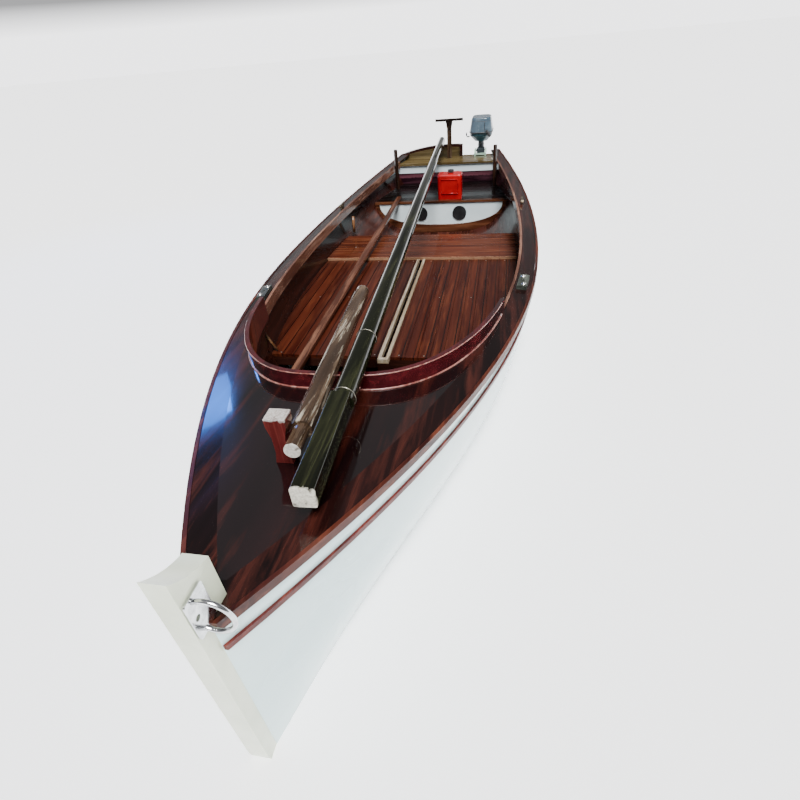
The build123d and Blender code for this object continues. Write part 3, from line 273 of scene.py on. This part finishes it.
# ---------------------------------------------------------------- foredeck
# Two wide book-matched mahogany panels under many coats of varnish, almost black,
# with red-brown flames showing where the light falls through.
deck_wood = wood(
    "foredeck_varnish",
    (0.0022, 0.0010, 0.0012),
    (0.012, 0.003, 0.003),
    (0.050, 0.010, 0.006),
    fine=0.5,
    gloss=0.05,
    figure=(0.44, 0.76),
    depth=0.0001,
    shine=0.3,
)
dress(deck_wood, "foredeck")

# ---------------------------------------------------------------- covering boards and cockpit trim
# Side decks sawn to the hull's curve, red-brown mahogany; the trim is the bead that
# closes the joint along the cockpit's edge, its varnish worn pale.
board_wood = wood(
    "covering_varnish",
    (0.0035, 0.0012, 0.0012),
    (0.014, 0.0035, 0.003),
    (0.050, 0.012, 0.008),
    fine=0.9,
    gloss=0.09,
    figure=(0.42, 0.74),
    coat=0.35,
    shine=0.15,
)
dress(board_wood, "covering_board_port", "covering_board_starboard", edge=0.002)
trim_wood = wood(
    "trim_varnish",
    (0.06, 0.022, 0.014),
    (0.16, 0.07, 0.045),
    (0.34, 0.19, 0.13),
    fine=1.2,
    coat=0.4,
    shine=0.25,
)
dress(trim_wood, "cockpit_trim", edge=0.003)

# ---------------------------------------------------------------- coaming
# One board steamed round the front of the cockpit, crimson-brown under thick varnish;
# a pale strip along its top edge and a light one along its foot are painted highlights.
coaming_wood = wood(
    "coaming_varnish",
    (0.016, 0.0012, 0.0022),
    (0.050, 0.0035, 0.006),
    (0.095, 0.010, 0.012),
    fine=0.9,
    gloss=0.07,
    shine=0.25,
)
dress(coaming_wood, "coaming", edge=0.005)


def place_piece(name, shape, mat, body):
    """Turn a finished bmesh into a piece that rides on a body."""
    mesh = bpy.data.meshes.new(name)
    shape.to_mesh(mesh)
    shape.free()
    mesh.materials.append(mat)
    piece = bpy.data.objects.new(name, mesh)
    bpy.context.scene.collection.objects.link(piece)
    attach(piece, body)


def sweep(name, path, radius, mat, body="hull", closed=False, sides=10):
    """Round section swept along a path: beads, rods, hooks and rings."""
    shape = bmesh.new()
    rows = []
    count = len(path)
    for k, centre in enumerate(path):
        before = path[(k - 1) % count] if closed else path[max(k - 1, 0)]
        after = path[(k + 1) % count] if closed else path[min(k + 1, count - 1)]
        along = (Vector(after) - Vector(before)).normalized()
        up = Vector((0, 0, 1)) if abs(along.z) < 0.9 else Vector((1, 0, 0))
        side = along.cross(up).normalized()
        up = side.cross(along)
        row = []
        for j in range(sides):
            turn = 2 * math.pi * j / sides
            out = radius * (math.cos(turn) * side + math.sin(turn) * up)
            row.append(shape.verts.new(Vector(centre) + out))
        rows.append(row)
    for near, far in zip(rows, rows[1:] + rows[:1] if closed else rows[1:]):
        for j in range(sides):
            shape.faces.new((near[j], near[(j + 1) % sides], far[(j + 1) % sides], far[j]))
    if not closed:
        shape.faces.new(list(reversed(rows[0])))
        shape.faces.new(rows[-1])
    bmesh.ops.recalc_face_normals(shape, faces=shape.faces)
    for face in shape.faces:
        face.smooth = True
    place_piece(name, shape, mat, body)


def top_of(name, x, y):
    """Highest point of a node over a place, or None."""
    hit, place, _, _ = nodes[name].ray_cast(Vector((x, y, 0.9)), Vector((0, 0, -1)))
    return place if hit else None


def coaming_run(lift, outset):
    """Points round the coaming's outer face, at its foot (lift above the deck) or under its top edge."""
    middle, path = Vector((0.94, 0.0, 0.0)), []
    for k in range(61):
        turn = math.radians(-86 + 172 * k / 60)
        way = Vector((math.cos(turn), math.sin(turn), 0))
        for z in (0.56, 0.54, 0.52, 0.50):
            start = middle + way * 1.6 + Vector((0, 0, z))
            hit, place, _, _ = nodes["coaming"].ray_cast(start, -way)
            if hit:
                break
        if not hit:
            continue
        spot = place + way * outset
        if lift is None:
            top = top_of("coaming", place.x - way.x * 0.004, place.y - way.y * 0.004)
            if top:
                path.append((spot.x, spot.y, top.z - 0.004))
            continue
        ground = -1.0
        for name in ("foredeck", "covering_board_port", "covering_board_starboard"):
            top = top_of(name, spot.x + way.x * 0.004, spot.y + way.y * 0.004)
            if top:
                ground = max(ground, top.z)
        if ground > 0:
            path.append((spot.x, spot.y, ground + lift))
    return path


# Pale strips swept along the coaming's foot and under its top edge: painted highlights where light catches
# those edges.
highlight_strip_wood = wood(
    "highlight_strip_varnish", (0.12, 0.03, 0.025), (0.26, 0.10, 0.08), (0.46, 0.26, 0.21), fine=1.5, gloss=0.2, coat=0.5
)
sweep("coaming_foot_painted_highlight", coaming_run(0.002, 0.001), 0.0035, highlight_strip_wood)
sweep("coaming_top_painted_highlight", coaming_run(None, -0.001), 0.0032, highlight_strip_wood)

# ---------------------------------------------------------------- cockpit floor and step
# Narrow red-brown floor planks with open dark seams, screwed to cross beams, and
# the wider red-brown boards of the step behind them.
FIRST_SEAM, PLANK_PITCH, SEAM = 0.042, 0.065, 0.0035
floor_wood = wood(
    "floor_varnish",
    (0.022, 0.0035, 0.0018),
    (0.052, 0.010, 0.004),
    (0.095, 0.024, 0.009),
    fine=2.2,
    gloss=0.25,
    coat=0.2,
    shine=0.2,
    seams=(PLANK_PITCH, FIRST_SEAM, SEAM),
)
dress(floor_wood, "floor_boards_port", "floor_boards_starboard", edge=0.002)
beam_wood = wood(
    "beam_varnish",
    (0.008, 0.003, 0.002),
    (0.02, 0.006, 0.004),
    (0.04, 0.012, 0.007),
    along="Y",
    coat=0.1,
)
dress(beam_wood, "floor_beams", "centreboard_case")
step_wood = wood(
    "step_varnish",
    (0.030, 0.006, 0.003),
    (0.075, 0.017, 0.007),
    (0.14, 0.042, 0.017),
    along="Y",
    fine=1.6,
    gloss=0.2,
    coat=0.3,
    shine=0.2,
    # A narrow pale band along the step's front edge: a painted highlight where the edge catches the light.
    zones=(("X", -0.437, -0.432, (0.30, 0.17, 0.10), (0.16, 0.07, 0.035)),),
)
dress(step_wood, "step_boards", edge=0.003)
capping_wood = wood(
    "capping_ash",
    (0.20, 0.14, 0.08),
    (0.45, 0.36, 0.24),
    (0.70, 0.62, 0.48),
    gloss=0.35,
    coat=0.2,
)
dress(capping_wood, "slot_capping", edge=0.002)

# ---------------------------------------------------------------- stern lockers
# White painted bulkhead with two screw-out hatches, brown cap and moulding, a bench over the locker
# in near-black that is painted shade for the hollow there, dark riser and pale fascia below the aft deck.
locker_paint = paint("locker_enamel", (0.74, 0.84, 0.86), (0.62, 0.73, 0.76), patch=(3, 3, 4), rough=0.3)
dress(locker_paint, "bulkhead", "stern_fascia", edge=0.002)
cap_wood = wood(
    "cap_varnish",
    (0.022, 0.006, 0.003),
    (0.075, 0.022, 0.010),
    (0.17, 0.065, 0.030),
    along="Y",
    gloss=0.2,
    coat=0.3,
    shine=0.2,
)
dress(cap_wood, "bulkhead_cap", "bulkhead_moulding", edge=0.004)
# The bench's near-black colour is painted shade for the dark hollow under the aft deck.
bench_painted_shade_wood = wood(
    "bench_painted_shade_black",
    (0.0015, 0.0012, 0.0012),
    (0.003, 0.002, 0.002),
    (0.006, 0.0035, 0.003),
    along="Y",
    gloss=0.16,
    coat=0.15,
    shine=0.1,
)
dress(bench_painted_shade_wood, "stern_bench", edge=0.003)
riser_wood = wood(
    "riser_varnish",
    (0.008, 0.002, 0.004),
    (0.026, 0.007, 0.013),
    (0.060, 0.020, 0.030),
    along="Y",
    coat=0.2,
    shine=0.2,
    # A pale pinkish band along the riser's top: a painted highlight on its lit part.
    zones=(("Z", 0.345, 0.352, (0.12, 0.040, 0.055), (0.06, 0.018, 0.026)),),
)
dress(riser_wood, "bench_riser")
aft_wood = wood(
    "aft_deck_varnish",
    (0.035, 0.022, 0.008),
    (0.085, 0.058, 0.020),
    (0.16, 0.12, 0.05),
    along="Y",
    gloss=0.14,
    coat=0.5,
    shine=0.2,
)
dress(aft_wood, "aft_deck", edge=0.003)

# ---------------------------------------------------------------- transom
# Oak board: olive varnish on its inner face, the hull's white enamel outside.
transom_wood = wood(
    "transom_finish",
    (0.030, 0.020, 0.008),
    (0.075, 0.052, 0.018),
    (0.14, 0.105, 0.045),
    along="Y",
    gloss=0.2,
    coat=0.3,
    facing_aft=HULL_WHITE,
)
dress(transom_wood, "transom", edge=0.003)

# ---------------------------------------------------------------- transom cap, posts, crutch, bitt
# Dark varnished hardwood fittings: the rail along the transom, two round posts, the
# T-shaped crutch that carries the boom, and the bitt on the foredeck.
post_wood = wood(
    "post_varnish",
    (0.004, 0.002, 0.0015),
    (0.014, 0.006, 0.004),
    (0.040, 0.018, 0.010),
    along="Z",
    fine=1.6,
    coat=0.4,
    shine=0.2,
)
dress(post_wood, "quarter_post_port", "quarter_post_starboard", edge=0.004)
crutch_wood = wood(
    "crutch_varnish",
    (0.020, 0.010, 0.006),
    (0.070, 0.040, 0.022),
    (0.16, 0.11, 0.07),
    along="Z",
    fine=1.6,
    coat=0.2,
    shine=0.2,
    zones=(("Z", 0.71, 0.76, (0.008, 0.004, 0.003), (0.005, 0.003, 0.002)),),
)
dress(crutch_wood, "boom_crutch", edge=0.004)
cap_rail = wood(
    "cap_rail_varnish",
    (0.006, 0.002, 0.002),
    (0.024, 0.006, 0.005),
    (0.06, 0.018, 0.013),
    along="Y",
    coat=0.3,
    shine=0.2,
)
dress(cap_rail, "transom_cap", edge=0.004)
bitt_wood = wood(
    "bitt_varnish",
    (0.040, 0.005, 0.005),
    (0.085, 0.012, 0.011),
    (0.15, 0.030, 0.024),
    along="Z",
    fine=2.0,
    coat=0.4,
    worn=(0.30, 0.20, 0.17),
    worn_from=0.80,
    zones=(("Z", 0.716, 0.722, (0.46, 0.44, 0.41), (0.20, 0.15, 0.13)),),
)
dress(bitt_wood, "mooring_bitt", edge=0.004)

# ---------------------------------------------------------------- rowlock pads and cleats
# Grey-green painted pads bolted to the side decks for the rowlocks, and dull bronze cleats.
pad_paint = wood(
    "pad_paint",
    (0.010, 0.012, 0.010),
    (0.030, 0.034, 0.028),
    (0.11, 0.12, 0.10),
    gloss=0.3,
    coat=0.2,
    shine=0.2,
)
dress(pad_paint, "rowlock_pad_port", "rowlock_pad_starboard", edge=0.005)


def metal(name, colour, rough, dull, dull_rough):
    """Worked metal: bright metal dulled in patches, with fine scratches."""
    mat, tree, shader = new_material(name)
    patch = span(tree, noise(tree, (40, 40, 40), 8.0), 0.4, 0.65)
    tree.links.new(blend(tree, patch, colour, dull), shader.inputs["Base Color"])
    tree.links.new(span(tree, patch, 0, 1, rough, dull_rough), shader.inputs["Roughness"])
    shader.inputs["Metallic"].default_value = 1.0
    raise_by(tree, shader, noise(tree, (240, 240, 240), 4.0), 0.0001)
    return mat


bronze = metal("old_bronze", (0.42, 0.34, 0.22), 0.25, (0.14, 0.11, 0.08), 0.5)
dress(bronze, "stern_cleats", "centreboard_pin", edge=0.002)

# ---------------------------------------------------------------- gammon ring
# Polished stainless rod bent to a ring on a drilled plate, bolted to the stem's port face.
stainless = metal("stainless", (0.66, 0.67, 0.68), 0.10, (0.46, 0.47, 0.48), 0.24)
dress(stainless, "gammon_ring")

# ---------------------------------------------------------------- mast
# Solid spar unshipped and laid along the boat: near-black varnish with a green cast,
# bare and split at its squared heel, two thin seizing rings.
HEEL_END, HEEL_Y, HEEL_Z = 2.303, 0.134, 0.649
MAST_TURN, MAST_DROP = 0.0438, 0.0059  # sideways and down, for each metre aft
mast_wood = wood(
    "mast_varnish",
    (0.0022, 0.0026, 0.0014),
    (0.008, 0.009, 0.004),
    (0.030, 0.032, 0.014),
    fine=1.1,
    gloss=0.08,
    coat=0.25,
    worn=(0.16, 0.10, 0.06),
    worn_from=0.84,
    shine=0.12,
    zones=(("X", HEEL_END - 0.010, HEEL_END - 0.002, (0.62, 0.60, 0.52), (0.34, 0.31, 0.25)),),
)
dress(mast_wood, "mast", edge=0.003)


def mast_ring(name, back):
    """Thin seizing ring round the mast, back metres aft of its heel."""
    middle = Vector((HEEL_END - back, HEEL_Y - MAST_TURN * back, HEEL_Z - MAST_DROP * back))
    reach = []
    for turn in range(24):
        way = Vector((0, math.cos(math.tau * turn / 24), math.sin(math.tau * turn / 24)))
        hit, place, _, _ = nodes["mast"].ray_cast(middle + way * 0.2, -way)
        if hit:
            reach.append(place + way * 0.0006)
    sweep(name, reach, 0.0016, ring_metal, closed=True, sides=6)


ring_metal = metal("ring_wire", (0.42, 0.40, 0.34), 0.3, (0.22, 0.20, 0.16), 0.5)
mast_ring("mast_ring_front", 0.43)
mast_ring("mast_ring_aft", 0.80)

# ---------------------------------------------------------------- bowsprit
# Eight-sided spar with its varnish gone grey-brown and flaking, round bare tenon in front.
sprit_wood = wood(
    "sprit_varnish",
    (0.020, 0.011, 0.006),
    (0.075, 0.045, 0.028),
    (0.20, 0.14, 0.09),
    fine=1.2,
    gloss=0.22,
    coat=0.4,
    worn=(0.42, 0.38, 0.30),
    worn_from=0.58,
    zones=(("X", 2.1285, 2.1315, (0.62, 0.60, 0.55), (0.36, 0.32, 0.27)),),
)
dress(sprit_wood, "bowsprit", edge=0.003)

# ---------------------------------------------------------------- spare spar
# Squared brown stick with rounded arrises, from under the foredeck to the locker's cap.
spare_wood = wood(
    "spare_varnish",
    (0.020, 0.006, 0.003),
    (0.065, 0.020, 0.010),
    (0.17, 0.075, 0.045),
    fine=1.2,
    coat=0.4,
    shine=0.25,
)
dress(spare_wood, "spare_spar", edge=0.003)

# ---------------------------------------------------------------- floor screws and loose battens
# Bright countersunk screws over the beams, and two short offcuts left in the corners.
screw_metal = metal("screw_bright", (0.75, 0.72, 0.62), 0.3, (0.5, 0.45, 0.36), 0.45)


FLOOR_TOP, SCREW_RADIUS, SCREW_RISE, SCREW_SIDES = 0.200, 0.0045, 0.0012, 10
SCREW_ROWS = ((0.895, 2), (0.20, 3), (-0.405, 2))  # place along the boat, planks between screws


def add_screw(shape, x, y):
    """Low domed head standing just proud of the boards."""
    hub = shape.verts.new((x, y, FLOOR_TOP + SCREW_RISE))
    rim = []
    for k in range(SCREW_SIDES):
        turn = math.tau * k / SCREW_SIDES
        out = (x + SCREW_RADIUS * math.cos(turn), y + SCREW_RADIUS * math.sin(turn))
        rim.append(shape.verts.new((*out, FLOOR_TOP + 0.0002)))
    for k in range(SCREW_SIDES):
        shape.faces.new((hub, rim[k], rim[(k + 1) % SCREW_SIDES]))


heads = bmesh.new()
for row, every in SCREW_ROWS:
    for step in range(-9, 10, every):
        add_screw(heads, row, step * PLANK_PITCH + 0.01)
place_piece("floor_screws", heads, screw_metal, "hull")
batten_wood = wood(
    "batten_raw",
    (0.12, 0.05, 0.02),
    (0.26, 0.12, 0.05),
    (0.46, 0.26, 0.13),
    along="Z",
    coat=0.1,
)
sweep("batten_front", [(0.885, -0.655, 0.315), (0.885, -0.60, 0.206)], 0.008, batten_wood, sides=4)
sweep("batten_aft", [(-0.985, -0.640, 0.36), (-0.965, -0.640, 0.236)], 0.012, batten_wood, sides=4)

# ---------------------------------------------------------------- fuel can
# Blow-moulded red can with soft corners and a black screw cap.


def moulded(name, colour, shade, rough):
    """Moulded plastic or rubber: a slow change of shade and a fine grain in the surface."""
    mat, tree, shader = new_material(name)
    patch = span(tree, noise(tree, (9, 9, 9), 4.0), 0.35, 0.7)
    tree.links.new(blend(tree, patch, colour, shade), shader.inputs["Base Color"])
    tree.links.new(span(tree, patch, 0, 1, rough, rough + 0.15), shader.inputs["Roughness"])
    raise_by(tree, shader, noise(tree, (300, 300, 300), 3.0), 0.0001)
    return mat


can_red = moulded("can_red", (0.40, 0.004, 0.006), (0.22, 0.002, 0.004), 0.16)
dress(can_red, "fuel_can", edge=0.004)
black_plastic = moulded("black_plastic", (0.012, 0.012, 0.013), (0.03, 0.03, 0.032), 0.35)
dress(black_plastic, "locker_hatches", "motor_grip", edge=0.002)


def turned(name, middle, outline, mat, sides=28, ribs=False):
    """Solid of revolution about an upright line: outline is (radius, height) from bottom to top."""
    shape = bmesh.new()
    rows = []
    for radius, height in outline:
        row = []
        for k in range(sides):
            turn = math.tau * k / sides
            out = radius * (1 - (0.04 if ribs and k % 2 else 0.0))
            spot = (middle.x + out * math.cos(turn), middle.y + out * math.sin(turn), middle.z + height)
            row.append(shape.verts.new(spot))
        rows.append(row)
    for low_row, high_row in zip(rows, rows[1:]):
        for k in range(sides):
            near = (k + 1) % sides
            shape.faces.new((low_row[k], low_row[near], high_row[near], high_row[k]))
    shape.faces.new(list(reversed(rows[0])))
    shape.faces.new(rows[-1])
    for face in shape.faces:
        face.smooth = not ribs
    place_piece(name, shape, mat, "hull")


def neck_top(node):
    """Middle of a node's highest flat."""
    corners = [v.co for v in nodes[node].data.vertices]
    peak = max(c.z for c in corners)
    flat = [c for c in corners if c.z > peak - 0.002]
    return Vector((sum(c.x for c in flat) / len(flat), sum(c.y for c in flat) / len(flat), peak))


neck = neck_top("fuel_can")
cap_shape = ((0.026, -0.020), (0.027, -0.004), (0.025, 0.0005), (0.012, 0.002))
turned("fuel_can_cap", neck, cap_shape, black_plastic, ribs=True)
can_low, can_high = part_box("fuel_can")
belly = (can_low.z + can_high.z) / 2
RIM_PROUD, RIM_INSET, RIM_RISE = 0.0015, 0.035, 0.05
face_x = can_high.x + RIM_PROUD
panel_rim = [
    (face_x, can_low.y + RIM_INSET, can_low.z + RIM_RISE),
    (face_x, can_high.y - RIM_INSET, can_low.z + RIM_RISE),
    (face_x, can_high.y - RIM_INSET, belly + RIM_RISE),
    (face_x, can_low.y + RIM_INSET, belly + RIM_RISE),
]
sweep("fuel_can_moulded_rim", panel_rim, 0.004, can_red, closed=True, sides=8)

# ---------------------------------------------------------------- rowlock bolts
# Bright domed bolt heads with a washer, holding each rowlock pad down beside its hole.
bolt_metal = metal("bolt_bright", (0.60, 0.60, 0.58), 0.22, (0.34, 0.33, 0.30), 0.4)
dome = ((0.013, 0.0), (0.013, 0.002), (0.008, 0.003), (0.0075, 0.006), (0.004, 0.009), (0.001, 0.0095))
for side in ("port", "starboard"):
    low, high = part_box("rowlock_pad_" + side)
    middle = (low + high) / 2
    for number, share in enumerate((-0.32, 0.32)):
        seat = top_of("rowlock_pad_" + side, middle.x + share * (high.x - low.x), middle.y)
        if seat:
            turned("rowlock_bolt_%s_%d" % (side, number), seat, dome, bolt_metal, sides=16)

# ---------------------------------------------------------------- centreboard and rudder
# Galvanised plate on its pin, and a varnished plank rudder on galvanised hangings.
galvanised = metal("galvanised", (0.42, 0.44, 0.45), 0.42, (0.26, 0.27, 0.28), 0.6)
dress(galvanised, "centreboard", "gudgeons", "pintles", edge=0.002)
rudder_wood = wood("rudder_varnish", (0.05, 0.02, 0.010), (0.15, 0.07, 0.035), (0.28, 0.15, 0.08), along="Z")
dress(rudder_wood, "rudder", edge=0.005)

# ---------------------------------------------------------------- outboard motor
# Small two-stroke: pressed blue-grey cowl over a teal pan, dark painted leg and swivel,
# pale green clamp hooked over the transom's notch.
cowl_finish = moulded("cowl_blue_grey", (0.040, 0.066, 0.090), (0.075, 0.105, 0.13), 0.14)
dress(cowl_finish, "motor_cowl", edge=0.006)
pan_finish = moulded("pan_teal", (0.014, 0.050, 0.062), (0.008, 0.03, 0.04), 0.25)
dress(pan_finish, "motor_pan", edge=0.003)
leg_finish = moulded("leg_paint", (0.020, 0.026, 0.030), (0.045, 0.055, 0.06), 0.3)
dress(leg_finish, "motor_leg", "motor_swivel", edge=0.003)
clamp_finish = moulded("clamp_green", (0.36, 0.50, 0.38), (0.24, 0.36, 0.28), 0.35)
dress(clamp_finish, "motor_clamp", edge=0.003)
alloy = metal("propeller_alloy", (0.30, 0.31, 0.32), 0.35, (0.16, 0.17, 0.18), 0.5)
dress(alloy, "propeller", edge=0.002)
cowl_low, cowl_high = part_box("motor_cowl")
cowl_middle = (cowl_low + cowl_high) / 2


def cowl_hoop(z, out):
    """Points round the cowl at one height."""
    axis, path = Vector((cowl_middle.x, cowl_middle.y, z)), []
    for k in range(48):
        way = Vector((math.cos(math.tau * k / 48), math.sin(math.tau * k / 48), 0))
        hit, place, _, _ = nodes["motor_cowl"].ray_cast(axis + way * 0.5, -way)
        if hit:
            path.append(place + way * out)
    return path


SEAL, GROOVE = 0.005, 0.0025
foot_hoop = cowl_hoop(cowl_low.z + SEAL, 0.0)
top_hoop = cowl_hoop(cowl_high.z - 0.030, -0.0012)
sweep("cowl_rubber_seal", foot_hoop, SEAL, black_plastic, "motor_steer", closed=True, sides=8)
# A black ring swept round the cowl's upper groove: painted shade for the groove's hollow.
sweep("cowl_groove_painted_shade", top_hoop, GROOVE, black_plastic, "motor_steer", closed=True, sides=6)
side_y = cowl_low.y + 0.002
handle = [
    (cowl_middle.x + 0.10, side_y - 0.004, cowl_low.z - 0.030),
    (cowl_middle.x + 0.125, side_y - 0.022, cowl_low.z - 0.030),
    (cowl_middle.x + 0.130, side_y - 0.030, cowl_low.z - 0.015),
    (cowl_middle.x + 0.130, side_y - 0.030, cowl_low.z + 0.010),
]
sweep("motor_lift_handle", handle, 0.006, black_plastic, "motor_steer")
SEAM_STEPS, SEAM_Y = 8, cowl_middle.y + 0.035
seam = []
for step in range(SEAM_STEPS + 1):
    z = cowl_low.z + 0.012 + (cowl_high.z - cowl_low.z - 0.045) * step / SEAM_STEPS
    ahead = Vector((cowl_high.x + 0.3, SEAM_Y, z))
    hit, place, _, _ = nodes["motor_cowl"].ray_cast(ahead, Vector((-1, 0, 0)))
    if hit:
        seam.append(place)
sweep("cowl_front_seam", seam, 0.003, black_plastic, "motor_steer", sides=6)

# ---------------------------------------------------------------- floor at the waterline
# Plain pale studio floor level with the water, open where the hull floats through it.
FLOOR_HALF = 60.0


def floor_mesh():
    """Flat sheet with a hole along the planking's waterline."""
    side = nodes["planking_port"]
    low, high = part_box("planking_port")
    rim = []
    for i in range(61):
        x = high.x - 0.004 - (high.x - low.x - 0.01) * i / 60
        hit, place, _, _ = side.ray_cast(Vector((x, 2.0, 0.0)), Vector((0.0, -1.0, 0.0)))
        if hit and place.y > 0.02:
            rim.append((x, place.y - 0.006))
    ring = [(x, y) for x, y in rim] + [(x, -y) for x, y in reversed(rim)]
    mesh = bpy.data.meshes.new("studio_floor")
    shape = bmesh.new()
    inner = [shape.verts.new((x, y, 0.0)) for x, y in ring]
    corners = ((1, 1), (-1, 1), (-1, -1), (1, -1))
    outer = [shape.verts.new((sx * FLOOR_HALF, sy * FLOOR_HALF, 0.0)) for sx, sy in corners]
    edges = []
    for loop in (inner, outer):
        for a, b in zip(loop, loop[1:] + loop[:1]):
            edges.append(shape.edges.new((a, b)))
    bmesh.ops.triangle_fill(shape, edges=edges, use_beauty=True, use_dissolve=False)
    for face in shape.faces:
        if face.normal.z < 0:
            face.normal_flip()
    shape.to_mesh(mesh)
    shape.free()
    return mesh


floor = bpy.data.objects.new("studio_floor", floor_mesh())
bpy.context.scene.collection.objects.link(floor)
floor_finish, floor_tree, floor_shader = new_material("studio_floor")
floor_shader.inputs["Base Color"].default_value = (0.93, 0.93, 0.94, 1.0)
floor_shader.inputs["Roughness"].default_value = 0.9
floor_shader.inputs["Emission Color"].default_value = (1.0, 1.0, 1.0, 1.0)
floor_shader.inputs["Emission Strength"].default_value = 0.45
floor.data.materials.append(floor_finish)

# ---------------------------------------------------------------- light
# Soft studio light: pale walls low round the horizon, a dim ceiling, one broad high lamp
# and a small cold panel to starboard.
world = bpy.data.worlds.new("studio")
bpy.context.scene.world = world
world.use_nodes = True
sky = world.node_tree
where = make(sky, "ShaderNodeTexCoord").outputs["Generated"]
height = make(sky, "ShaderNodeSeparateXYZ", Vector=where).outputs["Z"]
ramp = make(sky, "ShaderNodeValToRGB", Fac=height)
stops = ((0.0, 1.0), (0.035, 1.0), (0.07, 0.16), (0.3, 0.05), (1.0, 0.12))
while len(ramp.color_ramp.elements) < len(stops):
    ramp.color_ramp.elements.new(0.5)
for element, (place, level) in zip(ramp.color_ramp.elements, stops):
    element.position = place
    element.color = (level, level, level * 1.02, 1.0)
sky.links.new(ramp.outputs["Color"], sky.nodes["Background"].inputs["Color"])
sky.nodes["Background"].inputs["Strength"].default_value = 3.2

sun = bpy.data.lights.new("high_lamp", "SUN")
sun.energy = 9.0
sun.angle = math.radians(25)
sun_stand = bpy.data.objects.new("high_lamp", sun)
sun_stand.rotation_euler = (math.radians(-12), math.radians(24), 0)
bpy.context.scene.collection.objects.link(sun_stand)
panel = bpy.data.lights.new("cold_panel", "AREA")
panel.shape = "RECTANGLE"
panel.size, panel.size_y = 0.9, 0.6
panel.energy = 38
panel.color = (0.06, 0.26, 1.0)
PANEL_PLACE, PANEL_AIM = Vector((-1.8, -3.6, 2.45)), Vector((1.65, -0.5, 0.55))
panel_stand = bpy.data.objects.new("cold_panel", panel)
panel_stand.location = PANEL_PLACE
panel_stand.rotation_euler = (PANEL_AIM - PANEL_PLACE).to_track_quat("-Z", "Y").to_euler()
bpy.context.scene.collection.objects.link(panel_stand)


# ---------------------------------------------------------------- camera
# Above and ahead of the bow, just to port, looking aft and down along the boat.
YAW, PITCH, ROLL = math.radians(13.45), math.radians(36.15), math.radians(5.465)
view = bpy.data.cameras.new("camera")
view.sensor_width = 36.0
view.lens = 22.49
stand = bpy.data.objects.new("camera", view)
ahead = Vector((-math.cos(YAW) * math.cos(PITCH), -math.sin(YAW) * math.cos(PITCH), -math.sin(PITCH)))
level_right = ahead.cross(Vector((0, 0, 1))).normalized()
level_down = ahead.cross(level_right)
right = math.cos(ROLL) * level_right + math.sin(ROLL) * level_down
down = -math.sin(ROLL) * level_right + math.cos(ROLL) * level_down
turn = Matrix((right, -down, -ahead)).transposed()
stand.matrix_world = Matrix.Translation((3.062, 0.576, 1.539)) @ turn.to_4x4()
bpy.context.scene.collection.objects.link(stand)
bpy.context.scene.camera = stand
